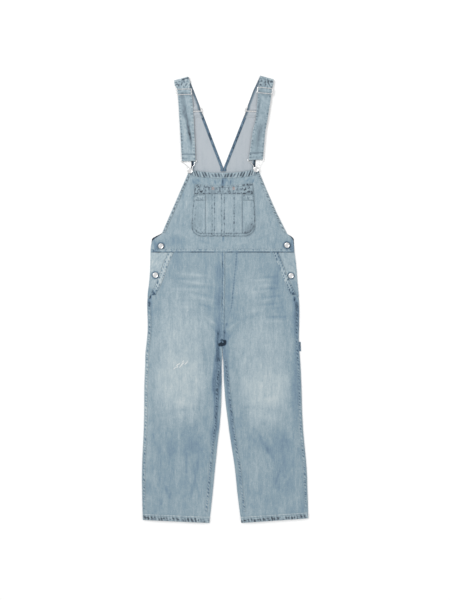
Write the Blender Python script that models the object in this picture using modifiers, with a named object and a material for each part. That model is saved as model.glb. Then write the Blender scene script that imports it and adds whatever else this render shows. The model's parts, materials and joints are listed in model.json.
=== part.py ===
"""Denim bib overalls laid flat on their back, with the straps brought forward to the bib.

Each panel, hem, pocket and seam is its own wall of cloth, a hair from its neighbours. Sizes are in
millimetres: x runs across from the middle of the waist, y runs up the garment from the lowest corner
of the leg hems, and z rises from the surface that the back rests on. Left and right are those of the
view from above with the straps at the top.
"""
from collections import namedtuple
from math import atan2, cos, exp, hypot, pi, sin

import bmesh
import bpy

MM = 0.001

# Cloth
WALL = 1.2
TRIM_WALL = 1.0
GAP = 0.3
SEAM_HALF_GAP = GAP / 2
BACK_TOP = WALL
FRONT_LOW = BACK_TOP + GAP + WALL + 0.1
TRIM_LIFT = GAP + TRIM_WALL

# Lengths up the garment
LENGTH = 1452
CROTCH = 555
WAIST = 884
BIB_TOP_MIDDLE = 1137
NECK_APEX = 1153
BACK_HEAD = 1316
LEG_HEM_HEIGHT = 20

# How far the front stands clear of the back
LEG_FULLNESS = 3.2
BIB_FULLNESS = 1.7
FULLNESS_BLEND = 90
ROLL_WIDTH = 18

LegRow = namedtuple("LegRow", "height left_outer left_inner right_inner right_outer")
LEG_ROWS = (
    LegRow(0, -262, -46, 58, 275),
    LegRow(100, -264, -35, 45, 272.5),
    LegRow(178, -264, -27.5, 37, 269.5),
    LegRow(256, -261, -19.5, 25, 262.5),
    LegRow(334, -258, -11, 14, 256.5),
    LegRow(438, -257, -6, 3, 253),
    LegRow(516, -254, -5.5, -0.5, 249.5),
    LegRow(555, -253, -3.5, -2.5, 246.5),
    LegRow(600, -248, -2.5, -2.5, 244.5),
    LegRow(646, -246, -2, -2, 245.5),
    LegRow(724, -247, -1, -1, 245),
    LegRow(776, -242, 0, 0, 240.5),
    LegRow(828, -238, 0, 0, 236.5),
    LegRow(884, -237, 0, 0, 230),
)

# The slanted pocket mouths; just below them the front runs out to the side seam again
MOUTH_FOOT_STEP = 12
PocketRow = namedtuple("PocketRow", "height left right")
POCKET_MOUTH = (
    PocketRow(735, -239, 239),
    PocketRow(750, -233, 232),
    PocketRow(776, -219, 219),
    PocketRow(805, -208, 206),
    PocketRow(844, -195, 192),
    PocketRow(884, -176, 175),
)

BibRow = namedtuple("BibRow", "height left right")
BIB_ROWS = (
    BibRow(884, -237, 230),
    BibRow(903, -235, 228),
    BibRow(917, -231, 227),
    BibRow(929, -215, 219),
    BibRow(938, -201, 207),
    BibRow(1010, -169.5, 171),
    BibRow(1085, -137, 138),
    BibRow(1151, -108, 111),
)

BackRow = namedtuple("BackRow", "height left right")
BACK_ROWS = (
    BackRow(884, -237, 230),
    BackRow(924, -232, 228),
    BackRow(932, -218, 219),
    BackRow(939, -203, 205),
    BackRow(950, -188, 191),
    BackRow(985, -166, 170),
    BackRow(1030, -146, 150),
    BackRow(1080, -127, 130),
    BackRow(1125, -110, 110),
    BackRow(1160, -104, 103),
    BackRow(1240, -109, 110),
    BackRow(1316, -106.5, 108.5),
)

# Soft folds of the front: a positive lift is a ridge and a negative one a trough
Fold = namedtuple("Fold", "x y length width lift lean")
FOLDS = (
    Fold(-150, 430, 330, 48, 0.30, 2),
    Fold(-78, 300, 300, 26, -0.26, -4),
    Fold(-212, 250, 260, 20, -0.20, 0),
    Fold(-112, 120, 160, 42, 0.28, 6),
    Fold(122, 470, 320, 46, 0.32, -3),
    Fold(70, 260, 280, 24, -0.24, -9),
    Fold(190, 190, 240, 26, -0.22, -3),
    Fold(228, 330, 200, 18, 0.16, 2),
    Fold(-104, 640, 30, 90, 0.16, 4),
    Fold(104, 650, 28, 90, 0.14, -5),
    Fold(-70, 800, 70, 60, -0.14, 0),
    Fold(60, 1010, 90, 60, 0.10, 8),
)
PLAIN_FULLNESS = 0.52

# Bib pocket, with a narrow pencil pocket on each side of it
POCKET_TOP_LEFT = 1101
POCKET_TOP_DIP = 8
POCKET_FOOT = 930
POCKET_CORNER = 36
PENCIL_TOP = 1067
PENCIL_FOOT = 941
PENCIL_HEM_HEIGHT = 20
PENCIL_INNER = (-58, 60)
PocketSide = namedtuple("PocketSide", "height left right")
POCKET_SIDES = (
    PocketSide(930, -106, 104),
    PocketSide(968, -105, 103.5),
    PocketSide(1017, -101.5, 102),
    PocketSide(1066, -97, 99),
    PocketSide(1106, -92.5, 93.5),
)

# Straps. Each row gives the two ends of a line across the strap, from the outer edge to the inner one
StrapRow = namedtuple("StrapRow", "outer_x outer_y inner_x inner_y")
StrapCut = namedtuple("StrapCut", "back front slide_row")
STRAPS = {
    "left": StrapCut(
        back=(StrapRow(-106.5, 1316.3, -62.5, 1316.3), StrapRow(-161, 1436, -114, 1449)),
        front=(
            StrapRow(-161, 1436, -114, 1449),
            StrapRow(-157, 1418, -107, 1427),
            StrapRow(-151, 1399, -105, 1400),
            StrapRow(-147, 1374, -101, 1374),
            StrapRow(-145, 1342, -98.5, 1342),
            StrapRow(-140, 1262, -94.5, 1262),
            StrapRow(-135, 1175, -91, 1176),
        ),
        slide_row=2,
    ),
    "right": StrapCut(
        back=(
            StrapRow(108.5, 1316.3, 64.5, 1316.3),
            StrapRow(141, 1397, 97.5, 1406),
            StrapRow(163, 1440, 119, 1452),
        ),
        front=(
            StrapRow(163, 1440, 119, 1452),
            StrapRow(161, 1420, 115, 1427),
            StrapRow(157.5, 1401, 112, 1406),
            StrapRow(153, 1374, 110.5, 1374),
            StrapRow(143, 1309, 104.5, 1309),
            StrapRow(136, 1273, 95, 1273),
            StrapRow(128, 1181, 82, 1178),
        ),
        slide_row=2,
    ),
}
STRAP_MIDDLE = WALL / 2
STRAP_FRONT = 6.2
TUNNEL_RETURN = BACK_TOP + GAP + WALL / 2
TUNNEL_RADIUS = (STRAP_FRONT - TUNNEL_RETURN) / 2
TUNNEL_TURN_IN = 14
BEND_STEPS = 6

# Slides: a flat plate with two slots, so three bars
SLIDE_LENGTH = 50.5
SLIDE_HEIGHT = 20
SLIDE_THICK = 1.6
SLIDE_RIM = 2.3
SLIDE_MIDDLE_BAR = 3
SLIDE_CORNER = 3
BACK_SLIDE_AT = 22
STRAP_IN_SLIDE = {"back": 40.6, "front": 43.4}
WEAVE_RISE = SLIDE_THICK + 2 * GAP + WALL
CLEAR_OF_SLIDE = 19

# How the strap goes through a slide: under its middle bar at the back and over it at the front
Bend = namedtuple("Bend", "offset rise")
BACK_WEAVE = (Bend(-10.8, 1), Bend(-7.1, 1), Bend(-2.2, 0), Bend(2.2, 0), Bend(7.1, 1), Bend(10.8, 1))
FRONT_WEAVE = (Bend(-11, 0), Bend(-7.3, 0), Bend(-2.1, 1), Bend(2.1, 1), Bend(7.3, 0), Bend(11, 0))

# Buckles: one closed loop of wire, hung on the bib's buttons
WIRE = 1.15
BUCKLE_HALF_WIDTH = 25.5
BUCKLE_SHOULDER = 9
BUCKLE_LOOP = 8
BUCKLE_NECK = 12

# Buttons
BUTTON_RADIUS = 8.5
BUTTON_CAP = 2.6
BUTTON_NECK_RADIUS = 3
ButtonSpot = namedtuple("ButtonSpot", "name x y")
BIB_BUTTONS = (ButtonSpot("left", -108.5, 1144), ButtonSpot("right", 105.5, 1148))
SIDE_BUTTONS = (
    ButtonSpot("upper_left", -203, 899),
    ButtonSpot("upper_right", 206, 902),
    ButtonSpot("lower_left", -221, 805),
    ButtonSpot("lower_right", 219, 803),
)
SIDE_NECK = 1.8

# Trims
BIB_HEM_HEIGHT = 17
BIB_SIDE_HEM_WIDTH = 8.5
NECK_HEM_WIDTH = 8
NECK_HEM_BELOW = 11
WAIST_SEAM_HEIGHT = 11
POCKET_EDGE_WIDTH = 16
SEAM_WIDTH = 9
INSEAM_INSET = 15
OUTSEAM_INSET = 6.5
TRIM_INSET = 0.7
TAB_HEIGHT = 30
TAB_REACH = 5.5
TAB_FOOT = 558
TAB_WALL = 2

# Colours as red, green and blue in linear light, with roughness and metal
Look = namedtuple("Look", "red green blue rough metal")
DENIM = Look(0.35, 0.44, 0.51, 0.9, 0)
DENIM_SEAM = Look(0.26, 0.36, 0.45, 0.9, 0)
DENIM_INSIDE = Look(0.48, 0.54, 0.57, 0.9, 0)
DENIM_DARK = Look(0.10, 0.16, 0.26, 0.9, 0)
WHITE_METAL = Look(0.86, 0.86, 0.87, 0.25, 1)


def clear_scene():
    for thing in list(bpy.data.objects):
        bpy.data.objects.remove(thing, do_unlink=True)


def lerp(a, b, share):
    return a + (b - a) * share


def ease(share):
    share = min(max(share, 0), 1)
    return share * share * (3 - 2 * share)


def steps(count):
    return [i / count for i in range(count + 1)]


def line_through(rows, column):
    """A polyline through one column of a table, read against its heights."""

    def at(height):
        height = min(max(height, rows[0].height), rows[-1].height)
        for low, high in zip(rows, rows[1:]):
            if height <= high.height:
                share = (height - low.height) / (high.height - low.height)
                return lerp(getattr(low, column), getattr(high, column), share)
        return getattr(rows[-1], column)

    return at


def curve_through(rows, column):
    """The same as line_through, but rounded at the rows."""
    heights = [row.height for row in rows]
    values = [getattr(row, column) for row in rows]

    def slope(i):
        low, high = max(i - 1, 0), min(i + 1, len(rows) - 1)
        return (values[high] - values[low]) / (heights[high] - heights[low])

    def at(height):
        height = min(max(height, heights[0]), heights[-1])
        i = max(k for k in range(len(rows) - 1) if heights[k] <= height)
        span = heights[i + 1] - heights[i]
        t = (height - heights[i]) / span
        from_start = values[i] + slope(i) * span * t
        from_end = values[i + 1] - slope(i + 1) * span * (1 - t)
        return lerp(from_start, from_end, ease(t))

    return at


LEG_OUTER = {side: curve_through(LEG_ROWS, side + "_outer") for side in ("left", "right")}
LEG_INNER = {side: curve_through(LEG_ROWS, side + "_inner") for side in ("left", "right")}
MOUTH = {side: line_through(POCKET_MOUTH, side) for side in ("left", "right")}
BIB_EDGE = {side: line_through(BIB_ROWS, side) for side in ("left", "right")}
BACK_EDGE = {side: line_through(BACK_ROWS, side) for side in ("left", "right")}
POCKET_EDGE = {side: line_through(POCKET_SIDES, side) for side in ("left", "right")}
OUTWARD = {"left": -1, "right": 1}
MIDDLE_X = (min(row.left_outer for row in LEG_ROWS) + max(row.right_outer for row in LEG_ROWS)) / 2
MIDDLE_Y = LENGTH / 2


def leg_inner(side, y):
    """The inseam edge of a leg, or above the crotch its half of the centre seam."""
    return LEG_INNER[side](y) + OUTWARD[side] * SEAM_HALF_GAP


def neck_edge(side, y):
    """The slanted edge of the back's neckline, or below it the centre of the back."""
    head = STRAPS[side].back[0]
    share = max(0, y - NECK_APEX) / (head.inner_y - NECK_APEX)
    return head.inner_x * share + OUTWARD[side] * SEAM_HALF_GAP


def fold_share(x, y):
    """How much of its fullness the cloth has at a place, from the table of folds."""
    total = PLAIN_FULLNESS
    for fold in FOLDS:
        lean = fold.lean * pi / 180
        dx, dy = x - fold.x, y - fold.y
        along = (-dx * sin(lean) + dy * cos(lean)) / fold.length
        across = (dx * cos(lean) + dy * sin(lean)) / fold.width
        total += fold.lift * exp(-2 * along * along - 2 * across * across)
    return min(max(total, 0.08), 1)


def edge_distance(x, y):
    """How far a place on the front is from the nearest edge of the garment."""
    if y > WAIST:
        return min(x - BIB_EDGE["left"](y), BIB_EDGE["right"](y) - x)
    distance = min(x - LEG_OUTER["left"](y), LEG_OUTER["right"](y) - x)
    above_crotch = max(0, y - CROTCH)
    left_in, right_in = LEG_INNER["left"](y), LEG_INNER["right"](y)
    if x < (left_in + right_in) / 2:
        inner = left_in - x
    else:
        inner = x - right_in
    return min(distance, max(inner, 0) + above_crotch)


def front_top(x, y):
    """Height of the front cloth's upper side."""
    blend = ease((WAIST + FULLNESS_BLEND / 2 - y) / FULLNESS_BLEND)
    fullness = lerp(BIB_FULLNESS, LEG_FULLNESS, blend)
    roll = 1 - exp(-((max(edge_distance(x, y), 0) / ROLL_WIDTH) ** 2))
    return FRONT_LOW + fullness * roll * fold_share(x, y)


def material(name, look):
    made = bpy.data.materials.new(name)
    made.use_nodes = True
    surface = made.node_tree.nodes["Principled BSDF"]
    surface.inputs["Base Color"].default_value = (look.red, look.green, look.blue, 1)
    surface.inputs["Roughness"].default_value = look.rough
    surface.inputs["Metallic"].default_value = look.metal
    return made


def finish(thing, look, garment):
    """Names the material, files the object and hangs it on the garment's empty."""
    thing.data.materials.append(material(thing.name, look))
    garment.collection.objects.link(thing)
    thing.parent = garment.empty
    return thing


def sheet(name, place, across, along, look, garment, wall=WALL, offset=-1):
    """A wall of cloth under the surface that place(u, v) gives, or about it with an offset of 0."""
    surface = bmesh.new()
    grid = [[surface.verts.new([c * MM for c in place(u, v)]) for u in across] for v in along]
    for lower, upper in zip(grid, grid[1:]):
        for i in range(len(across) - 1):
            surface.faces.new((lower[i], lower[i + 1], upper[i + 1], upper[i]))
    mesh = bpy.data.meshes.new(name)
    surface.to_mesh(mesh)
    surface.free()
    mesh.shade_smooth()
    mesh.set_sharp_from_angle(angle=pi / 5)
    thing = bpy.data.objects.new(name, mesh)
    thick = thing.modifiers.new("Wall", "SOLIDIFY")
    thick.thickness = wall * MM
    thick.offset = offset
    return finish(thing, look, garment)


def between(side, outer, inner, share):
    """Across a panel in +x order, whichever side it lies on."""
    if side == "left":
        return lerp(outer, inner, share)
    return lerp(inner, outer, share)


EDGE_DENSE = (0, 0.035, 0.09, 0.18, 0.34, 0.5, 0.66, 0.82, 0.91, 0.965, 1)
LEG_STEPS = 26


def hem_line(side, x):
    """Lowest point of a leg at x: each hem rises a little towards the outer seam."""
    inner, outer = LEG_INNER[side](0), LEG_OUTER[side](0)
    rise = 10 if side == "left" else 15
    return rise * min(max((x - inner) / (outer - inner), 0), 1)


def leg_height(side, x, y):
    """Bends the lowest rows of a leg to its slanted hem."""
    return y + hem_line(side, x) * (1 - ease(y / 160))


def make_leg(side, garment):
    rows = [WAIST * share for share in steps(LEG_STEPS)]
    mouth_foot = POCKET_MOUTH[0].height

    def back_place(u, y):
        x = between(side, LEG_OUTER[side](y), leg_inner(side, y), u)
        return x, leg_height(side, x, min(y, WAIST - SEAM_HALF_GAP)), BACK_TOP

    def front_outer(y):
        if y >= mouth_foot:
            return MOUTH[side](y)
        return LEG_OUTER[side](y)

    def front_place(u, y):
        x = between(side, front_outer(y), leg_inner(side, y), u)
        return x, leg_height(side, x, min(y, WAIST - SEAM_HALF_GAP)), front_top(x, y)

    front_rows = [row.height for row in POCKET_MOUTH] + [mouth_foot - MOUTH_FOOT_STEP]
    spacing = WAIST / LEG_STEPS / 2
    front_rows += [y for y in rows if all(abs(y - other) > spacing for other in front_rows)]
    front_rows.sort()
    sheet("back_leg_" + side, back_place, (0, 0.5, 1), rows, DENIM, garment)
    sheet("front_leg_" + side, front_place, EDGE_DENSE, front_rows, DENIM, garment)


def make_hip(side, garment):
    """The facing that shows outside the slanted pocket mouth, and the mouth's turned edge."""
    out = OUTWARD[side]

    def facing_place(u, y):
        outer = LEG_OUTER[side](y)
        inner = MOUTH[side](y) + out * GAP
        x = between(side, outer, inner, u)
        lift = 0.5 * (front_top(x, y) - FRONT_LOW)
        return x, min(y, WAIST - SEAM_HALF_GAP), FRONT_LOW + lift

    def edge_place(u, y):
        outer = MOUTH[side](y) - out * TRIM_INSET
        x = between(side, outer, outer - out * POCKET_EDGE_WIDTH, u)
        return x, y, front_top(x, y) + TRIM_LIFT

    facing_rows = [row.height + (0.5 if row is POCKET_MOUTH[0] else 0) for row in POCKET_MOUTH]
    edge_top = WAIST - WAIST_SEAM_HEIGHT / 2 - GAP
    edge_rows = [741, 750, 762, 776, 790, 805, 824, 844, 862, edge_top]
    sheet("hip_facing_" + side, facing_place, steps(3), facing_rows, DENIM_INSIDE, garment)
    sheet("pocket_edge_" + side, edge_place, steps(2), edge_rows, DENIM, garment, TRIM_WALL)


def make_seams(side, garment):
    """The felled inseam and side seam of a leg, and its hem."""
    out = OUTWARD[side]
    foot, inseam_head, outseam_head = 38, 535, 715

    def inseam_place(u, y):
        inset = INSEAM_INSET - 8 * ease((y - 440) / 95)
        middle = LEG_INNER[side](y) + out * inset
        x = middle + (u - 0.5) * SEAM_WIDTH
        return x, leg_height(side, x, y), front_top(x, y) + TRIM_LIFT

    def outseam_place(u, y):
        middle = LEG_OUTER[side](y) - out * OUTSEAM_INSET
        x = middle + (u - 0.5) * SEAM_WIDTH
        return x, leg_height(side, x, y), front_top(x, y) + TRIM_LIFT

    def hem_place(u, v):
        outer = LEG_OUTER[side](v) - out * TRIM_INSET
        inner = leg_inner(side, v) + out * TRIM_INSET
        x = between(side, outer, inner, u)
        return x, leg_height(side, x, v), front_top(x, v) + TRIM_LIFT

    inseam_rows = [lerp(foot, inseam_head, share) for share in steps(20)]
    outseam_rows = [lerp(foot, outseam_head, share) for share in steps(27)]
    hem_across = (0, 0.02, 0.05, 0.1, 0.16, 0.24, 0.36, 0.5, 0.64, 0.76, 0.84, 0.9, 0.95, 0.98, 1)
    hem_rows = (TRIM_INSET, LEG_HEM_HEIGHT / 2, LEG_HEM_HEIGHT)
    sheet("inseam_" + side, inseam_place, (0, 1), inseam_rows, DENIM_SEAM, garment, TRIM_WALL)
    sheet("outseam_" + side, outseam_place, (0, 1), outseam_rows, DENIM_SEAM, garment, TRIM_WALL)
    sheet("leg_hem_" + side, hem_place, hem_across, hem_rows, DENIM_SEAM, garment, TRIM_WALL)


def make_middle_seams(garment):
    """The waist seam across the front, the centre seam below it and the loop at the side."""
    half = WAIST_SEAM_HEIGHT / 2

    def waist_place(u, v):
        y = WAIST + (v - 0.5) * 2 * half
        left, right = LEG_OUTER["left"](min(y, WAIST)), LEG_OUTER["right"](min(y, WAIST))
        x = lerp(left + TRIM_INSET + 1, right - TRIM_INSET - 1, u)
        return x, y, front_top(x, y) + TRIM_LIFT

    def centre_place(u, y):
        x = LEG_INNER["left"](y) + (u - 0.5) * SEAM_WIDTH
        return x, y, front_top(x, y) + TRIM_LIFT

    def tab_place(u, v):
        y = TAB_FOOT + v * TAB_HEIGHT
        return LEG_OUTER["right"](y) + GAP + u * TAB_REACH, y, TAB_WALL

    waist_across = sorted(steps(22) + [0.015, 0.03, 0.97, 0.985])
    centre_rows = [lerp(570, WAIST - half - GAP, i / 14) for i in range(15)]
    sheet("waist_seam", waist_place, waist_across, steps(2), DENIM_SEAM, garment, TRIM_WALL)
    sheet("front_seam", centre_place, (0, 0.5, 1), centre_rows, DENIM_SEAM, garment, TRIM_WALL)
    sheet("side_tab", tab_place, steps(1), steps(2), DENIM_DARK, garment, TAB_WALL)


def bib_top(u):
    """The bib's upper edge, which dips in the middle."""
    rise = 10 if u < 0.5 else 14
    return BIB_TOP_MIDDLE + rise * (2 * u - 1) ** 2


def make_bib(garment):
    heights = (884, 893, 903, 917, 923, 929, 938, 960, 985, 1010, 1035, 1060, 1085, 1111, 1137)
    across = (0, 0.02, 0.05, 0.1, 0.17, 0.26, 0.38, 0.5, 0.62, 0.74, 0.83, 0.9, 0.95, 0.98, 1)

    def bib_place(u, height):
        share = (height - WAIST) / (BIB_TOP_MIDDLE - WAIST)
        y = max(height, WAIST + SEAM_HALF_GAP) + share**4 * (bib_top(u) - BIB_TOP_MIDDLE)
        x = lerp(BIB_EDGE["left"](y), BIB_EDGE["right"](y), u)
        return x, y, front_top(x, y)

    def top_hem_place(u, v):
        y = bib_top(u) - TRIM_INSET - (1 - v) * BIB_HEM_HEIGHT
        x = lerp(BIB_EDGE["left"](y) + TRIM_INSET, BIB_EDGE["right"](y) - TRIM_INSET, u)
        return x, y, front_top(x, y) + TRIM_LIFT

    sheet("front_bib", bib_place, across, heights, DENIM, garment)
    sheet("bib_top_hem", top_hem_place, across, steps(2), DENIM_SEAM, garment, TRIM_WALL)
    for side, out in OUTWARD.items():
        corner = bib_top(0 if side == "left" else 1)
        low, high = 943, corner - BIB_HEM_HEIGHT - 2 * TRIM_INSET - 2

        def side_hem_place(u, v, side=side, out=out, low=low, high=high):
            y = lerp(low, high, v)
            outer = BIB_EDGE[side](y) - out * TRIM_INSET
            x = between(side, outer, outer - out * BIB_SIDE_HEM_WIDTH, u)
            return x, y, front_top(x, y) + TRIM_LIFT

        name = "bib_side_hem_" + side
        sheet(name, side_hem_place, steps(2), steps(9), DENIM_SEAM, garment, TRIM_WALL)


def pocket_side(side, y, foot=POCKET_FOOT, inset=0):
    """The pocket's edge at a height, rounded off at the bottom corner."""
    radius = POCKET_CORNER
    above = min(max(y - foot, 0), radius)
    turn_in = radius - (radius**2 - (radius - above) ** 2) ** 0.5
    return POCKET_EDGE[side](y) - OUTWARD[side] * (turn_in + inset)


def pocket_top(x):
    """The pocket's mouth, which sags in the middle and is higher on the right."""
    share = (x - POCKET_SIDES[-1].left) / (POCKET_SIDES[-1].right - POCKET_SIDES[-1].left)
    share = min(max(share, 0), 1)
    return POCKET_TOP_LEFT + 4 * share - POCKET_TOP_DIP * 4 * share * (1 - share)


def corner_rows(foot, count=5):
    return [foot + POCKET_CORNER * (1 - cos(pi / 2 * i / count)) for i in range(count + 1)]


def make_bib_pocket(garment):
    lift = TRIM_LIFT
    hem_foot = PENCIL_TOP + GAP + TRIM_INSET

    def pocket_place(u, height):
        x = lerp(pocket_side("left", height), pocket_side("right", height), u)
        share = ease((height - PENCIL_TOP) / (POCKET_TOP_LEFT - PENCIL_TOP))
        y = height + share * (pocket_top(x) - POCKET_TOP_LEFT)
        return x, y, front_top(x, y) + lift

    def hem_place(u, v):
        height = lerp(hem_foot, POCKET_TOP_LEFT, v)
        left = POCKET_EDGE["left"](height) + TRIM_INSET
        right = POCKET_EDGE["right"](height) - TRIM_INSET
        x = lerp(left, right, u)
        y = lerp(hem_foot, pocket_top(x) - TRIM_INSET, v)
        return x, y, front_top(x, y) + 2 * lift

    body_rows = corner_rows(POCKET_FOOT)
    body_rows += [985, 1005, 1025, 1046, PENCIL_TOP, 1084, POCKET_TOP_LEFT]
    sheet("bib_pocket", pocket_place, steps(12), body_rows, DENIM, garment, TRIM_WALL)
    sheet("bib_pocket_hem", hem_place, steps(12), steps(2), DENIM_SEAM, garment, TRIM_WALL)

    for side, inner in zip(("left", "right"), PENCIL_INNER):

        def pencil_place(u, y, side=side, inner=inner):
            outer = pocket_side(side, y, PENCIL_FOOT, TRIM_INSET + 1)
            x = between(side, outer, inner, u)
            return x, y, front_top(x, y) + 2 * lift

        def pencil_hem_place(u, y, side=side, inner=inner):
            outer = pocket_side(side, y, PENCIL_FOOT, 2 * TRIM_INSET + 1)
            x = between(side, outer, inner + OUTWARD[side] * TRIM_INSET, u)
            return x, y, front_top(x, y) + 3 * lift

        rows = corner_rows(PENCIL_FOOT) + [995, 1012, 1030, 1048, PENCIL_TOP - TRIM_INSET]
        hem_rows = (PENCIL_TOP - PENCIL_HEM_HEIGHT, PENCIL_TOP - 10, PENCIL_TOP - 1.2)
        name = "pencil_pocket_" + side
        sheet(name, pencil_place, steps(4), rows, DENIM, garment, TRIM_WALL)
        name = "pencil_pocket_hem_" + side
        sheet(name, pencil_hem_place, steps(4), hem_rows, DENIM_SEAM, garment, TRIM_WALL)


def make_back(side, garment):
    """Half of the back above the waist, with the turned edge of the neckline."""
    heights = [WAIST + SEAM_HALF_GAP] + [row.height for row in BACK_ROWS[1:]]
    heights = sorted(heights + [NECK_APEX, 1280])
    out = OUTWARD[side]

    def back_place(u, y):
        return between(side, BACK_EDGE[side](y), neck_edge(side, y), u), y, BACK_TOP

    def hem_place(u, v):
        y = lerp(NECK_APEX - NECK_HEM_BELOW, BACK_HEAD - 1, v)
        inner = neck_edge(side, y) + out * TRIM_INSET
        x = between(side, inner + out * NECK_HEM_WIDTH, inner, u)
        return x, y, BACK_TOP + TRIM_LIFT

    sheet("back_panel_" + side, back_place, steps(2), heights, DENIM_INSIDE, garment)
    hem_rows = (0, 0.064, 0.35, 0.7, 1)
    sheet("neck_hem_" + side, hem_place, (0, 1), hem_rows, DENIM_DARK, garment, TRIM_WALL)


def strap_path(rows):
    """Reads a strap's table by length along its middle: gives the outer and the inner end."""
    marks = [0]
    for here, there in zip(rows, rows[1:]):
        dx = (there.outer_x + there.inner_x - here.outer_x - here.inner_x) / 2
        dy = (there.outer_y + there.inner_y - here.outer_y - here.inner_y) / 2
        marks.append(marks[-1] + hypot(dx, dy))

    def at(length):
        i = max(k for k in range(len(rows) - 1) if marks[k] <= max(length, 0))
        share = (length - marks[i]) / (marks[i + 1] - marks[i])
        ends = zip(rows[i], rows[i + 1])
        return StrapRow(*(lerp(a, b, share) for a, b in ends))

    return at, marks


def narrowed(row, width):
    """The same line across, no wider than a slot lets it be."""
    length = hypot(row.inner_x - row.outer_x, row.inner_y - row.outer_y)
    share = min(1, width / length)
    middle_x, middle_y = (row.outer_x + row.inner_x) / 2, (row.outer_y + row.inner_y) / 2
    return StrapRow(
        lerp(middle_x, row.outer_x, share),
        lerp(middle_y, row.outer_y, share),
        lerp(middle_x, row.inner_x, share),
        lerp(middle_y, row.inner_y, share),
    )


def shifted(row, dx, dy):
    return StrapRow(row.outer_x + dx, row.outer_y + dy, row.inner_x + dx, row.inner_y + dy)


def outward_of(row, towards):
    """Unit normal of a line across the strap, on the side of the given direction."""
    dx, dy = row.inner_x - row.outer_x, row.inner_y - row.outer_y
    size = hypot(dx, dy)
    normal = (-dy / size, dx / size)
    if normal[1] * towards < 0:
        normal = (-normal[0], -normal[1])
    return normal


def woven(at, length, towards, weave, width, low):
    """Lines across the strap where it goes through a slide, in the strap's own direction."""
    row = narrowed(at(length), width)
    ahead = outward_of(row, towards)
    before, after = at(length - 5), at(length + 5)
    run_x = after.outer_x + after.inner_x - before.outer_x - before.inner_x
    run_y = after.outer_y + after.inner_y - before.outer_y - before.inner_y
    reach = run_x * ahead[0] + run_y * ahead[1]
    stations = []
    for bend in weave:
        line = shifted(row, run_x / reach * bend.offset, run_y / reach * bend.offset)
        stations.append((line, low + bend.rise * WEAVE_RISE))
    return stations


def strap_stations(cut):
    """Lines across the strap with their heights, from the back, over the fold, to the buckle."""
    back_at, back_marks = strap_path(cut.back)
    stations = [(back_at(0), STRAP_MIDDLE), (back_at(BACK_SLIDE_AT - CLEAR_OF_SLIDE), STRAP_MIDDLE)]
    width = STRAP_IN_SLIDE["back"]
    stations += woven(back_at, BACK_SLIDE_AT, 1, BACK_WEAVE, width, STRAP_MIDDLE)
    for share in (0, 0.5):
        length = lerp(BACK_SLIDE_AT + CLEAR_OF_SLIDE, back_marks[-1], share)
        stations.append((back_at(length), STRAP_MIDDLE))
    fold = cut.front[0]
    radius = (STRAP_FRONT - STRAP_MIDDLE) / 2
    up = outward_of(fold, 1)
    for i in range(BEND_STEPS + 1):
        turn = pi * i / BEND_STEPS
        reach = radius * (sin(turn) - 1)
        line = shifted(fold, up[0] * reach, up[1] * reach)
        stations.append((line, STRAP_MIDDLE + radius * (1 - cos(turn))))
    front_at, front_marks = strap_path(cut.front)
    slide = front_marks[cut.slide_row]
    stations.append((front_at(slide * 0.4), STRAP_FRONT))
    width = STRAP_IN_SLIDE["front"]
    stations += woven(front_at, slide, -1, FRONT_WEAVE, width, STRAP_FRONT)
    for mark in front_marks[cut.slide_row + 1 : -1]:
        stations.append((front_at(mark), STRAP_FRONT))
    end = cut.front[-1]
    down = outward_of(end, -1)
    for i in range(BEND_STEPS + 1):
        turn = pi * i / BEND_STEPS
        reach = TUNNEL_RADIUS * (sin(turn) - 1)
        line = shifted(end, down[0] * reach, down[1] * reach)
        stations.append((line, STRAP_FRONT - TUNNEL_RADIUS * (1 - cos(turn))))
    line = shifted(end, -down[0] * TUNNEL_TURN_IN, -down[1] * TUNNEL_TURN_IN)
    stations.append((line, TUNNEL_RETURN))
    return stations


def make_strap(side, garment):
    cut = STRAPS[side]
    stations = strap_stations(cut)

    def place(u, index):
        row, z = stations[index]
        x = between(side, row.outer_x, row.inner_x, u)
        y = between(side, row.outer_y, row.inner_y, u)
        return x, y, z

    indexes = range(len(stations))
    sheet("strap_" + side, place, steps(3), indexes, DENIM, garment, WALL, 0)
    back_at, _ = strap_path(cut.back)
    front_at, front_marks = strap_path(cut.front)
    back_low = BACK_TOP + GAP
    front_low = STRAP_FRONT + WALL / 2 + GAP
    make_slide("back_slide_" + side, back_at(BACK_SLIDE_AT), back_low, garment)
    make_slide("front_slide_" + side, front_at(front_marks[cut.slide_row]), front_low, garment)


def rounded_box(half_x, half_y, radius, middle_y=0, per_corner=3):
    """Points round a box with rounded corners."""
    points = []
    for corner in range(4):
        start = corner * pi / 2
        sign_x = 1 if corner in (0, 3) else -1
        sign_y = 1 if corner in (0, 1) else -1
        for i in range(per_corner + 1):
            turn = start + pi / 2 * i / per_corner
            x = sign_x * (half_x - radius) + radius * cos(turn)
            y = sign_y * (half_y - radius) + radius * sin(turn)
            points.append((x, y + middle_y))
    return points


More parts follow.
